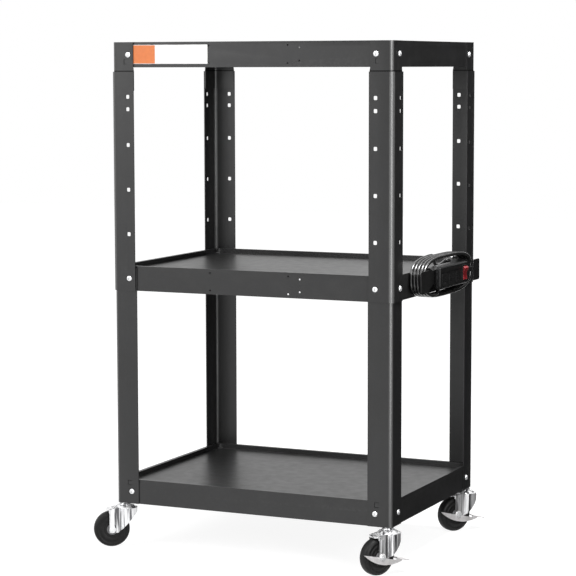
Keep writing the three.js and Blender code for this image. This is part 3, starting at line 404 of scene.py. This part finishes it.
def dustyRubber(name, look):
    finish, tree, shader, where = newFinish(name)
    colour = blendColours(tree, patches(tree, where, 0, 1, *look["clouds"]), look["shade"], look["tint"])
    dust = patches(tree, where, 0, look["dust"], *look["dustPatches"])
    setColour(tree, shader, blendColours(tree, dust, colour, look["dustTint"]))
    setGloss(tree, shader, where, look)
    shader.inputs["Specular IOR Level"].default_value = look["specular"]
    setTexture(tree, shader, where, look)
    return finish


def vinyl(name, look):
    finish, tree, shader, where = newFinish(name)
    share = patches(tree, where, 0, 1, *look["clouds"])
    setColour(tree, shader, blendColours(tree, share, look["shade"], look["tint"]))
    setGloss(tree, shader, where, look)
    setTexture(tree, shader, where, look)
    return finish


# Clouds and patches are a noise's size, detail and window; a texture lists size, detail, strength and depth.
# Painted bend highlight: where a leg's fold begins, in X and Y, lighter colour and more specular stand in for
# the light it catches; painted seam shadow: a black band in the gap under the top posts, in Z.
coatLook = {
    "shade": (0.008, 0.008, 0.008), "tint": (0.0105, 0.0105, 0.011), "clouds": (90, 4),
    "rub": 0.3, "rubTint": (0.04, 0.04, 0.04), "rubPatches": (6, 5, 0.42, 0.62), "rubEdge": (0.52, 0.62),
    "dust": 0.008, "dustTint": (0.22, 0.21, 0.2), "dustPatches": (30, 6, 0.5, 0.75),
    "gloss": (0.35, 0.4), "glossPatches": (18, 5), "specular": 0.5,
    "paintedBendHighlight": (297.6, 221.4), "paintedHighlightFade": 2.5, "paintedHighlightTint": (0.066, 0.066, 0.066), "bendSpecular": 0.8,
    "paintedSeamShadow": (974.9, 977.3), "seamShadowFade": 0.2, "seamSheen": 0.3,
    "texture": [(1.3, 2, 0.05, 0.05), (0.35, 1, 0.03, 0.012)],
}
legCoat = powderCoat("leg powder coat", coatLook)
trayCoat = powderCoat("tray powder coat", {**coatLook, "dust": 0.02, "gloss": (0.34, 0.4)})
socketCoat = powderCoat("socket powder coat", {**coatLook, "tint": (0.011, 0.011, 0.011)})
bracketCoat = powderCoat("bracket black paint", {
    **coatLook, "shade": (0.006, 0.006, 0.006), "tint": (0.009, 0.009, 0.009), "specular": 0.35,
})

metalLook = {"cloudDetail": 4, "paintedReflectionStreaks": None, "bands": (0.3, 0.7), "metal": 1,
             "lineDetail": 3, "stretch": None, "lineDepth": 0.02}
zincPlate = platedMetal("bright zinc plate", {
    **metalLook, "shade": (0.74, 0.75, 0.76), "tint": (0.86, 0.86, 0.87), "cloudSize": 3,
    "lineSize": 0.5, "lines": 0.12, "gloss": (0.2, 0.34), "metal": 0.5,
})
# Painted reflection: the chrome's dark streaks in its colour stand in for dark surroundings mirrored in it
chromePlate = platedMetal("caster chrome", {
    **metalLook, "shade": (0.1, 0.1, 0.105), "tint": (0.9, 0.9, 0.91), "cloudSize": 6,
    "paintedReflectionStreaks": (1, 1, 0.05), "bands": (0.38, 0.52),
    "lineSize": 7, "lines": 0.05, "gloss": (0.1, 0.18), "metal": 0.65,
})
leverSteel = platedMetal("lever plate steel", {
    **metalLook, "shade": (0.74, 0.72, 0.72), "tint": (0.86, 0.84, 0.84), "cloudSize": 8,
    "lineSize": 1.2, "lines": 0.12, "stretch": (1, 1, 5), "gloss": (0.28, 0.42), "metal": 0.4,
})
bladeNickel = platedMetal("plug blade nickel", {
    **metalLook, "shade": (0.7, 0.66, 0.56), "tint": (0.8, 0.77, 0.69), "cloudSize": 4,
    "lineSize": 0.8, "lines": 0.1, "stretch": (1, 6, 1), "gloss": (0.2, 0.3),
})

plasticLook = {"clouds": (9, 4), "rubPatches": (3, 5, 0.4, 0.65), "rubEdge": (0.52, 0.64),
               "glossPatches": (5, 5), "coat": 0}
unitPlastic = mouldedPlastic("power unit plastic", {
    **plasticLook, "shade": (0.004, 0.004, 0.004), "tint": (0.007, 0.007, 0.007),
    "rub": 0.5, "rubTint": (0.08, 0.08, 0.085), "gloss": (0.4, 0.48), "specular": 0.25,
    "texture": [(0.5, 2, 0.14, 0.03)],
})
hubPlastic = mouldedPlastic("hub grey plastic", {
    **plasticLook, "shade": (0.15, 0.15, 0.155), "tint": (0.2, 0.2, 0.205),
    "rub": 0.4, "rubTint": (0.3, 0.3, 0.3), "gloss": (0.42, 0.55), "specular": 0.5,
    "texture": [(0.6, 2, 0.15, 0.03)],
})
rockerRed = mouldedPlastic("rocker red", {
    **plasticLook, "shade": (0.13, 0.008, 0.011), "tint": (0.2, 0.014, 0.018),
    "rub": 0.2, "rubTint": (0.4, 0.1, 0.11), "gloss": (0.25, 0.35), "specular": 0.3,
    "texture": [(1.5, 2, 0.04, 0.03)],
})
cordSheath = mouldedPlastic("cord sheath", {
    **plasticLook, "shade": (0.006, 0.006, 0.006), "tint": (0.01, 0.01, 0.01),
    "rub": 0.2, "rubTint": (0.05, 0.05, 0.05), "gloss": (0.28, 0.34), "specular": 1, "coat": 0.35,
    "texture": [(3, 2, 0.02, 0.03)],
})

tyreBlack = dustyRubber("tyre rubber", {
    "shade": (0.004, 0.004, 0.004), "tint": (0.008, 0.008, 0.008), "clouds": (11, 5),
    "dust": 0.05, "dustTint": (0.16, 0.155, 0.15), "dustPatches": (3, 6, 0.52, 0.75),
    "gloss": (0.44, 0.56), "glossPatches": (4, 4), "specular": 0.2, "texture": [(0.7, 3, 0.25, 0.03)],
})

vinylLook = {"clouds": (6, 5), "gloss": (0.3, 0.42), "glossPatches": (12, 4),
             "texture": [(2.5, 3, 0.12, 0.03)]}
labelWhite = vinyl("label white", {
    **vinylLook, "shade": (0.82, 0.82, 0.81), "tint": (0.88, 0.88, 0.87),
})
labelOrange = vinyl("label orange", {
    **vinylLook, "shade": (0.67, 0.17, 0.035), "tint": (0.73, 0.2, 0.045),
})
print("finishes made")

# Cord: out of the strain relief, along the core's underside, wound round it, then over the lip to the plug
cordRun = {
    "radius": 3.2, "pitch": 6.85, "start": 0.105, "end": 4.45, "halfLength": 135.7, "halfHeight": 38.5,
    "roundness": 3.2, "outer": 335.8, "middle": 568.8, "tailGap": 0.3,
    "fineSteps": 4000, "stepsPerTurn": 64, "bendWeight": 120, "curveSteps": 10, "roundSteps": 5,
    "exit": [(322, -13.6, 546), (322, -20.0, 546), (329.5, -44, 542), (334.8, -66, 537), (336.2, -84, 534.4)],
    "tail": [(304.8, -30, 607.6), (300.5, -4, 606), (293, 20, 600), (286, 43, 589.5), (281.5, 66, 580.5),
             (280, 92, 577.7), (280, 121.3, 582.9), (280, 127.7, 582.9)],
}
cordThickness = 2 * cordRun["radius"]


def smoothRoute(stops):
    # Centripetal curve through the stops
    steps, shortest = cordRun["curveSteps"], 1e-6
    ends = [2 * stops[0] - stops[1], *stops, 2 * stops[-1] - stops[-2]]
    route = []
    for i in range(1, len(ends) - 2):
        p = ends[i - 1:i + 3]
        t = [0.0]
        for a, b in zip(p, p[1:]):
            t.append(t[-1] + max((b - a).length, shortest) ** 0.5)
        for k in range(steps):
            u = t[1] + (t[2] - t[1]) * k / steps
            a1 = p[0].lerp(p[1], (u - t[0]) / (t[1] - t[0]))
            a2 = p[1].lerp(p[2], (u - t[1]) / (t[2] - t[1]))
            a3 = p[2].lerp(p[3], (u - t[2]) / (t[3] - t[2]))
            b1 = a1.lerp(a2, (u - t[0]) / (t[2] - t[0]))
            b2 = a2.lerp(a3, (u - t[1]) / (t[3] - t[1]))
            route.append(b1.lerp(b2, (u - t[1]) / (t[2] - t[1])))
    return route + [stops[-1]]


def windingPlace(turns):
    # A rounded box seen along X, with the turns side by side
    angle = 2 * math.pi * turns
    power = 2 / cordRun["roundness"]
    across, down = math.sin(angle), math.cos(angle)
    x = cordRun["outer"] - cordRun["pitch"] * (turns - cordRun["start"])
    y = -cordRun["halfLength"] * math.copysign(abs(across) ** power, across)
    z = -cordRun["halfHeight"] * math.copysign(abs(down) ** power, down)
    return Vector((x, y, cordRun["middle"] + z))


def windingRoute():
    # Steps are closer where the cord bends
    turns = cordRun["end"] - cordRun["start"]
    count = cordRun["fineSteps"]
    fine = [windingPlace(cordRun["start"] + turns * i / count) for i in range(count + 1)]
    weights = [0.0]
    for i in range(1, len(fine)):
        here = fine[i] - fine[i - 1]
        before = fine[i - 1] - fine[i - 2] if i > 1 else here
        weights.append(weights[-1] + here.length + cordRun["bendWeight"] * here.angle(before))
    steps = round(turns * cordRun["stepsPerTurn"])
    route, at = [], 0
    for i in range(steps + 1):
        wanted = weights[-1] * i / steps
        while at < len(weights) - 2 and weights[at + 1] < wanted:
            at += 1
        share = (wanted - weights[at]) / (weights[at + 1] - weights[at])
        route.append(fine[at].lerp(fine[at + 1], share))
    return route


def wholeRoute():
    winding = windingRoute()
    exitStops = [Vector(p) for p in cordRun["exit"]]
    exitCurve = smoothRoute([*exitStops, winding[0], winding[1]])[:cordRun["curveSteps"] * len(exitStops)]
    lastWay = (winding[-1] - winding[-2]).normalized()
    tailStart = winding[-1] + lastWay * cordThickness + lastWay * cordRun["tailGap"]
    tailStops = [tailStart, tailStart + lastWay * cordThickness, *[Vector(p) for p in cordRun["tail"]]]
    return [p * mm for p in [*exitCurve, *winding, *smoothRoute(tailStops)]]


def cordCurve(route):
    line = bpy.data.curves.new("power_cord", "CURVE")
    line.dimensions = "3D"
    line.bevel_depth = cordRun["radius"] * mm
    line.bevel_resolution = cordRun["roundSteps"]
    line.use_fill_caps = True
    spline = line.splines.new("POLY")
    spline.points.add(len(route) - 1)
    for stop, place in zip(spline.points, route):
        stop.co = (*place, 1)
    spline.use_smooth = True
    line.materials.append(cordSheath)
    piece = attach(inScene("power_cord", line), "frame")
    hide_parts("cord_winding", "cord_tail")
    return piece


cordRoute = wholeRoute()
powerCord = cordCurve(cordRoute)

# Plug: a moulded body with a waist and grip ribs, two blades and an earth pin
plugLook = {
    "x": 280, "start": 128, "length": 38, "middle": 582.9, "cornerSteps": 7, "sharpAngle": 50,
    # Distance along, half width, half height and corner radius
    "rings": [(0, 4.2, 4.2, 4.1), (0.8, 5.0, 4.9, 4.6), (9, 5.8, 5.4, 4.6), (10.5, 8.6, 7.0, 4.2),
              (13, 11.6, 8.9, 4.2), (16, 12.6, 9.6, 4.0), (19, 12.4, 9.3, 4.0), (20, 11.9, 8.9, 4.0),
              (21, 12.4, 9.3, 4.0), (23, 12.4, 9.3, 4.0), (24, 11.9, 8.9, 4.0), (25, 12.4, 9.3, 4.0),
              (27, 12.4, 9.3, 4.0), (28, 11.9, 8.9, 4.0), (29, 12.5, 9.5, 4.0), (33, 12.9, 9.9, 3.6),
              (37, 12.9, 9.9, 3.4), (38, 12.2, 9.3, 3.2)],
    "bladeThickness": 1.5, "bladeLength": 17, "bladeHeight": 6.4, "bladeCut": (1.2, 1.5),
    "bladeSpread": 6.35, "bladeLift": 4.2, "bladeEdge": 0.2, "sunk": 1,
    # Radius and distance from the tip
    "earthPin": [(2.4, 2.2), (2.1, 1.0), (1.3, 0.2), (0, 0)], "earthDrop": 5.4,
}


def plugBody():
    points, faces = [], []
    count = 4 * (plugLook["cornerSteps"] + 1)
    flatLeft = 0.05
    for along, halfX, halfZ, corner in plugLook["rings"]:
        radius = min(corner, halfX - flatLeft, halfZ - flatLeft)
        for a, b in roundedOutline(-halfX, halfX, -halfZ, halfZ, radius, plugLook["cornerSteps"]):
            points.append((plugLook["x"] + a, plugLook["start"] + along, plugLook["middle"] + b))
    rows = range(0, len(points), count)
    for low, high in zip(rows, rows[1:]):
        for k in range(count):
            n = (k + 1) % count
            faces.append((low + k, low + n, high + n, high + k))
    faces += [tuple(range(count)), tuple(range(rows[-1], len(points)))]
    mesh = closedMesh("plug_body", points, faces, plugLook["sharpAngle"])
    piece = addObject("plug_body", mesh, cordSheath)
    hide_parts("plug")
    return piece


def plugBlades():
    made = []
    face = plugLook["start"] + plugLook["length"]
    half, long, sunk = plugLook["bladeHeight"] / 2, plugLook["bladeLength"], plugLook["sunk"]
    halfThick = plugLook["bladeThickness"] / 2
    cutAcross, cutAlong = plugLook["bladeCut"]
    outline = [(-half, -sunk), (half, -sunk), (half, long - cutAlong), (half - cutAcross, long),
               (-half + cutAcross, long), (-half, long - cutAlong)]
    level = plugLook["middle"] + plugLook["bladeLift"]
    for name, side in (("plug_blade_left", -1), ("plug_blade_right", 1)):
        line = plugLook["x"] + side * plugLook["bladeSpread"]
        placed = [(face + b, level + a) for a, b in outline]
        mesh = slab(name, placed, line - halfThick, line + halfThick, "yz")
        blade = softenEdges(addObject(name, mesh, bladeNickel), plugLook["bladeEdge"])
        made.append(blade)
    radius = plugLook["earthPin"][0][0]
    profile = [(0, -sunk), (radius, -sunk), *[(r, long - fromTip) for r, fromTip in plugLook["earthPin"]]]
    pin = turned("plug_earth_pin", profile, sides=32)
    toBack = moved(plugLook["x"], face, plugLook["middle"] - plugLook["earthDrop"]) @ rotated(-90, "X")
    made.append(addObject("plug_earth_pin", pin, bladeNickel, toBack))
    return made


plugPiece = plugBody()
blades = plugBlades()

# Strain relief under the housing: a ribbed, tapered sleeve
reliefLook = {
    "place": (322, 9.7, 546), "length": 23, "radii": (4.4, 3.7), "collar": 2.4,
    "ribs": 6, "firstRib": 3.0, "ribStep": 3.1, "ribStart": 0.9, "ribRise": 1.2, "ribEnd": 2.7,
    "groove": 0.45, "tipCut": (0.15, 0.2), "tipLength": 1.2, "mouth": 0.2,
}


def strainRelief():
    base, tip = reliefLook["radii"]
    length, groove = reliefLook["length"], reliefLook["groove"]
    profile = [(0, 0), (base, 0), (base, reliefLook["collar"])]
    for i in range(reliefLook["ribs"]):
        at = reliefLook["firstRib"] + i * reliefLook["ribStep"]
        radius = base + (tip - base) * at / length
        profile += [(radius - groove, at), (radius - groove, at + reliefLook["ribStart"]),
                    (radius, at + reliefLook["ribRise"]), (radius, at + reliefLook["ribEnd"])]
    cutAcross, cutAlong = reliefLook["tipCut"]
    profile += [(tip, length - reliefLook["tipLength"]), (tip - cutAcross, length - cutAlong),
                (cordRun["radius"] - reliefLook["mouth"], length), (0, length)]
    mesh = turned("strain_relief_sleeve", profile, sides=40)
    place = moved(*reliefLook["place"]) @ rotated(90, "X")
    piece = addObject("strain_relief_sleeve", mesh, cordSheath, place)
    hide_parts("strain_relief")
    return piece


strainRelief()
print("cord, relief and plug made")

# Legs, posts and trays
sheetEdge = {"legs": 0.4, "trays": 0.35}
for corner in corners:
    for leg in ("lower_leg_", "outer_leg_", "top_post_"):
        dressed(leg + corner, legCoat, "black_powder_coat", sheetEdge["legs"])
for tray in ("bottom_shelf", "middle_shelf", "top_shelf"):
    dressed(tray, trayCoat, "tray_powder_coat", sheetEdge["trays"])
print("legs and trays dressed")

# Corner bolts: slotted pan heads outside, hexagon nuts behind the lips
boltLook = {
    "radius": 5.5, "height": 2.75, "sunk": 0.1, "slot": (1.2, 1.0), "cutterReach": (9, 2), "sharpAngle": 40,
    # Share of the head's radius, and height
    "dome": [(1, 0.35), (0.985, 0.75), (0.93, 1.25), (0.84, 1.75), (0.7, 2.2), (0.5, 2.52), (0.25, 2.7)],
    "end": [(0, 0.1), (2.45, 0.1), (2.45, 1.0), (2.1, 1.35), (0, 1.4)],
    "nutFlats": 8.4, "nutHeight": 4.15, "nutEdge": 0.25, "grips": {"bottom": 3.8, "middle": 6.1, "top": 3.8},
}


def boltHead():
    radius, height, sunk = boltLook["radius"], boltLook["height"], boltLook["sunk"]
    dome = [(radius * share, level) for share, level in boltLook["dome"]]
    blank = turned("bolt_head", [(0, -sunk), (radius, -sunk), *dome, (0, height)], sides=40, sharpAngle=60)
    wide, deep = boltLook["slot"]
    reach, above = boltLook["cutterReach"]
    outline = [(-wide / 2, -reach), (wide / 2, -reach), (wide / 2, reach), (-wide / 2, reach)]
    head = inScene("bolt_head_blank", blank)
    cutter = inScene("slot_cutter", slab("slot_cutter", outline, height - deep, height + above))
    cut = head.modifiers.new("slot", "BOOLEAN")
    cut.operation = "DIFFERENCE"
    cut.object = cutter
    cut.solver = "EXACT"
    slotted = bpy.data.meshes.new_from_object(head.evaluated_get(bpy.context.evaluated_depsgraph_get()))
    slotted.set_sharp_from_angle(angle=math.radians(boltLook["sharpAngle"]))
    for piece in (head, cutter):
        bpy.data.objects.remove(piece)
    return slotted


def boltNut(grip):
    foot = -grip - boltLook["nutHeight"]
    end = turned("bolt_end", boltLook["end"], sides=24)
    end.transform(moved(0, 0, foot) @ rotated(180, "X"))
    nut = slab("bolt_nut", hexagon(boltLook["nutFlats"] / math.sqrt(3)), foot, -grip)
    return joined("bolt_nut", [end, nut])


head = boltHead()
nuts = {level: boltNut(grip) for level, grip in boltLook["grips"].items()}
for level, height in cart["boltHeights"].items():
    out = cart["sleeveStep"] if level == "middle" else 0
    for corner, (sx, sy) in corners.items():
        spots = {"side": (Vector((sx, 0, 0)), (sx * (cart["halfWidth"] + out), sy * cart["bolts"][1])),
                 "end": (Vector((0, sy, 0)), (sx * cart["bolts"][0], sy * (cart["halfDepth"] + out)))}
        for face, (outward, (x, y)) in spots.items():
            across = Vector((0, 0, 1)).cross(outward)
            place = Matrix((across, (0, 0, 1), outward)).transposed().to_4x4()
            place.translation = Vector((x, y, height)) * mm
            label = level + "_" + corner + "_" + face
            addObject("bolt_" + label, head, zincPlate, place)
            nut = softenEdges(addObject("nut_" + label, nuts[level], zincPlate, place), boltLook["nutEdge"])
print("bolts fitted")

# Plain two-colour label on the top front lip
labelLook = {
    "x": (-259.4, -91.0), "z": (990.6, 1028.5), "corner": 1.2, "proud": 0.12, "edge": 0.05,
    "field": 50.5, "margin": 0.8, "fieldProud": 0.05, "fieldEdge": 0.02,
}


def lipLabel():
    (x0, x1), (z0, z1) = labelLook["x"], labelLook["z"]
    face = -cart["lipFace"]
    front = face - labelLook["proud"]
    back = slab("lip_label", roundedOutline(x0, x1, z0, z1, labelLook["corner"]), front, face, "xz")
    softenEdges(addObject("lip_label", back, labelWhite), labelLook["edge"])
    margin, proud = labelLook["margin"], labelLook["fieldProud"]
    outline = roundedOutline(x0 + margin, x0 + labelLook["field"], z0 + margin, z1 - margin, margin)
    field = slab("lip_label_field", outline, front - proud, face - proud, "xz")
    piece = softenEdges(addObject("lip_label_field", field, labelOrange), labelLook["fieldEdge"])


lipLabel()
print("label fitted")

# Casters. Edges are a radius, the least angle and segments; profiles are (radius, height), and those
# of the wheel run from its middle outwards.
casterLook = {
    "inset": 12, "trail": 28, "radius": 37, "forkSeat": 16.8, "leverSeat": 18.6,
    "headings": {"front_left": 35, "front_right": 61, "back_left": 280, "back_right": 55.5},
    "braked": ("front_right", "back_right"),
    "forkEdge": (0.7, 34, 3), "leverEdge": (0.35, 30, 2), "axleEdge": (0.3, 40),
}
tyreProfile = [(37.0, 0), (36.95, 3.0), (36.7, 5.2), (36.2, 7.2), (35.3, 8.9), (34.1, 10.1), (32.6, 11.0),
               (31.0, 11.7), (30.3, 11.95), (29.7, 11.95), (29.2, 11.6), (28.6, 11.2), (27.6, 11.05),
               (24.8, 11.2), (24.1, 11.5), (23.6, 11.95), (22.8, 12.0), (17.5, 12.0), (17.1, 11.75),
               (16.7, 12.0), (12.2, 12.0), (11.6, 11.8), (11.35, 11.3)]
hubProfile = [(11.2, 0), (11.2, 12.0), (11.0, 12.35), (10.5, 12.5), (9.9, 12.35), (9.5, 12.1), (8.0, 12.2),
              (7.6, 12.6), (7.3, 13.3), (6.9, 13.5), (4.6, 13.5), (4.35, 13.2)]
stemProfile = [(0, 83.0), (5.4, 83.0), (7.4, 83.4), (8.0, 84.2), (8.0, 84.6), (5.25, 84.7), (5.25, 87.3),
               (7.0, 87.3), (7.6, 88.2), (8.8, 89.7), (9.0, 90.2), (9.0, 91.3), (8.6, 91.7), (5.25, 91.7),
               (5.25, 117.8), (4.4, 119.0), (0, 119.0)]
# The rolled ball race that stands on the fork's hood
raceProfile = [(9.4, 86.9), (10.4, 87.0), (11.6, 87.6), (12.0, 88.5), (11.6, 89.4), (10.3, 90.0), (9.4, 90.0)]
socketProfile = [(5.6, 0), (9.3, 0), (9.7, 0.5), (9.7, 29.0), (9.3, 29.5), (5.6, 29.5)]
axleLook = {"shank": 4.0, "thread": 3.2, "tip": 2.6, "threadLength": 3.5, "tipLength": 4.0,
            "nutRadius": 6.5, "nutTurn": 8, "nutSpan": (0.7, 3.3), "washer": (3.9, 6.8)}


def axleMesh(seat):
    thread, tip = axleLook["thread"], axleLook["tip"]
    inner, outer = axleLook["washer"]
    washerTop, nutTop = (seat + height for height in axleLook["nutSpan"])
    half = [(axleLook["shank"], seat), (thread, seat), (thread, seat + axleLook["threadLength"]),
            (tip, seat + axleLook["tipLength"]), (0, seat + axleLook["tipLength"])]
    parts = [turned("axle", mirrored(half), sides=40)]
    for low, high in ((-nutTop, -washerTop), (washerTop, nutTop)):
        parts.append(slab("axle_nut", hexagon(axleLook["nutRadius"], axleLook["nutTurn"]), low, high))
    for low, high in ((-washerTop, -seat), (seat, washerTop)):
        profile = [(inner, low), (outer, low), (outer, high), (inner, high)]
        parts.append(turned("axle_washer", profile, sides=40))
    return joined("axle", parts)


tyre = turned("tyre", mirrored(tyreProfile), sides=96, sharpAngle=50)
hub = turned("hub", mirrored(hubProfile), sides=64, sharpAngle=40)
stem = turned("stem", stemProfile, sides=56, sharpAngle=40)
race = turned("race", raceProfile, sides=64, sharpAngle=45)
socket = turned("socket", socketProfile, sides=56, sharpAngle=40)


def casterPieces(corner, turn, socketPlace):
    # Name, mesh, finish, place, body, node that it stands for, slot
    wheel = turn @ moved(-casterLook["trail"], 0, casterLook["radius"]) @ rotated(-90, "X")
    axle = axleMesh(casterLook["leverSeat" if corner in casterLook["braked"] else "forkSeat"])
    onWheel, onFork = "wheel_" + corner, "fork_" + corner
    return [
        ("tyre_", tyre, tyreBlack, wheel, onWheel, "wheel_tyre_", "tyre_rubber"),
        ("hub_", hub, hubPlastic, wheel, onWheel, "wheel_hub_", "hub_plastic"),
        ("axle_bolt_", axle, zincPlate, wheel, onFork, "axle_", "bright_zinc"),
        ("stem_", stem, chromePlate, turn, "frame", "caster_stem_", "caster_chrome"),
        ("race_", race, chromePlate, turn, onFork, None, "caster_chrome"),
        ("socket_", socket, socketCoat, socketPlace, "frame", "caster_socket_", "socket_coat"),
    ]


for corner, (sx, sy) in corners.items():
    x = sx * (cart["halfWidth"] - casterLook["inset"])
    y = sy * (cart["halfDepth"] - casterLook["inset"])
    turn = moved(x, y, 0) @ rotated(casterLook["headings"][corner], "Z")
    socketPlace = moved(x, y, cart["base"])
    for label, mesh, finish, place, body, stoodFor, slotName in casterPieces(corner, turn, socketPlace):
        piece = addObject(label + corner, mesh, finish, place, body)
        if stoodFor:
            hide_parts(stoodFor + corner)
        if label == "axle_bolt_":
            softenEdges(piece, *casterLook["axleEdge"])
    dressed("caster_fork_" + corner, chromePlate, "caster_chrome", *casterLook["forkEdge"])
    if corner in casterLook["braked"]:
        dressed("brake_lever_" + corner, leverSteel, "lever_steel", *casterLook["leverEdge"])
print("casters made")

# Power unit: node, finish, slot, edge radius, least angle and segments
unitPieces = [
    ("unit_bracket", bracketCoat, "bracket_coat", 0.3),
    ("unit_housing", unitPlastic, "unit_plastic", 0.9, 25, 3),
    ("unit_front", unitPlastic, "unit_plastic", 0.35, 30),
    ("switch_bezel", unitPlastic, "unit_plastic", 0.4, 30),
    ("rocker_switch", rockerRed, "rocker_red", 0.7, 35, 3),
    ("unit_screw_near", zincPlate, "bright_zinc", 0.3),
    ("unit_screw_far", zincPlate, "bright_zinc", 0.3),
]
for row in unitPieces:
    dressed(*row)
print("power unit dressed")

# Floor, soft lights and a white surround, in metres
studio = {"floor": 0.24, "floorHalf": 9, "floorRoughness": 0.9, "glow": 0.9, "ambient": 0.5, "card": 0.02,
          "sun": 0.8, "sunPlace": (-2.4, -3.2, 4.6), "sunSoftness": 40}
lamps = {
    "key": {"place": (-2.4, -3.2, 1.9), "aim": (0, 0, 0.55), "size": (2.2, 2.2), "power": 45},
    "corner": {"place": (1.94, -1.37, 1.0), "aim": (0.3, -0.23, 0.9), "size": (0.6, 1.9), "power": 42},
    "over": {"place": (0.6, 0.05, 2.4), "aim": (0.34, 0, 0.57), "size": (1.1, 0.9), "power": 105},
}
# Dark cards beside, behind and below keep the faces on the right dark; the camera doesn't see them
cards = {
    "sideCard": [(1.9, -0.6, 0), (1.9, 3.2, 0), (1.9, 3.2, 3.3), (1.9, -0.6, 3.3)],
    "backCard": [(0.35, 3.0, 0), (2.6, 3.0, 0), (2.6, 3.0, 3.3), (0.35, 3.0, 3.3)],
    "floorCard": [(0.31, -0.6, 0.012), (2.8, -0.6, 0.012), (2.8, 3.0, 0.012), (0.31, 3.0, 0.012)],
}


def anyRay(tree, *rays):
    # 1 where the ray is one of those named
    path = tree.nodes.new("ShaderNodeLightPath")
    seen = path.outputs[rays[0]]
    for ray in rays[1:]:
        seen = combine(tree, "MAXIMUM", seen, path.outputs[ray])
    return seen


def surround():
    world = bpy.data.worlds.new("white surround")
    bpy.context.scene.world = world
    world.use_nodes = True
    tree = world.node_tree
    background = tree.nodes["Background"]
    seen = anyRay(tree, "Is Camera Ray", "Is Glossy Ray", "Is Transmission Ray")
    tree.links.new(spread(tree, seen, studio["ambient"], 1, 0, 1), background.inputs["Strength"])
    background.inputs["Color"].default_value = (1, 1, 1, 1)


def matt(name, level):
    finish = bpy.data.materials.new(name)
    finish.use_nodes = True
    shader = finish.node_tree.nodes["Principled BSDF"]
    shader.inputs["Base Color"].default_value = (level, level, level, 1)
    shader.inputs["Specular IOR Level"].default_value = 0
    return finish, finish.node_tree, shader


def stageSheet(name, places, finish, seen=True):
    mesh = meshFrom(name, [Vector(p) / mm for p in places], [(0, 1, 2, 3)], False)
    mesh.materials.append(finish)
    sheet = inScene(name, mesh)
    sheet.visible_camera = seen
    sheet.visible_shadow = seen


def paleFloor():
    finish, tree, shader = matt("pale floor", studio["floor"])
    shader.inputs["Roughness"].default_value = studio["floorRoughness"]
    shader.inputs["Emission Color"].default_value = (1, 1, 1, 1)
    seen = anyRay(tree, "Is Camera Ray", "Is Glossy Ray")
    tree.links.new(multiply(tree, seen, studio["glow"]), shader.inputs["Emission Strength"])
    half = studio["floorHalf"]
    stageSheet("floor", [(-half, -half, 0), (half, -half, 0), (half, half, 0), (-half, half, 0)], finish)


def softSun():
    data = bpy.data.lights.new("softSun", "SUN")
    data.energy = studio["sun"]
    data.angle = math.radians(studio["sunSoftness"])
    piece = inScene("softSun", data)
    piece.rotation_euler = (-Vector(studio["sunPlace"])).to_track_quat("-Z", "Y").to_euler()


def softLamp(name, lamp):
    data = bpy.data.lights.new(name, "AREA")
    data.shape = "RECTANGLE"
    data.size, data.size_y = lamp["size"]
    data.energy = lamp["power"]
    piece = inScene(name, data)
    piece.location = lamp["place"]
    piece.rotation_euler = (Vector(lamp["aim"]) - Vector(lamp["place"])).to_track_quat("-Z", "Y").to_euler()


def darkCards():
    finish = matt("dark card", studio["card"])[0]
    for name, places in cards.items():
        stageSheet(name, places, finish, seen=False)


surround()
paleFloor()
softSun()
for name, lamp in lamps.items():
    softLamp(name + "Lamp", lamp)
darkCards()
bpy.context.scene.view_settings.view_transform = "Standard"
print("studio lit")
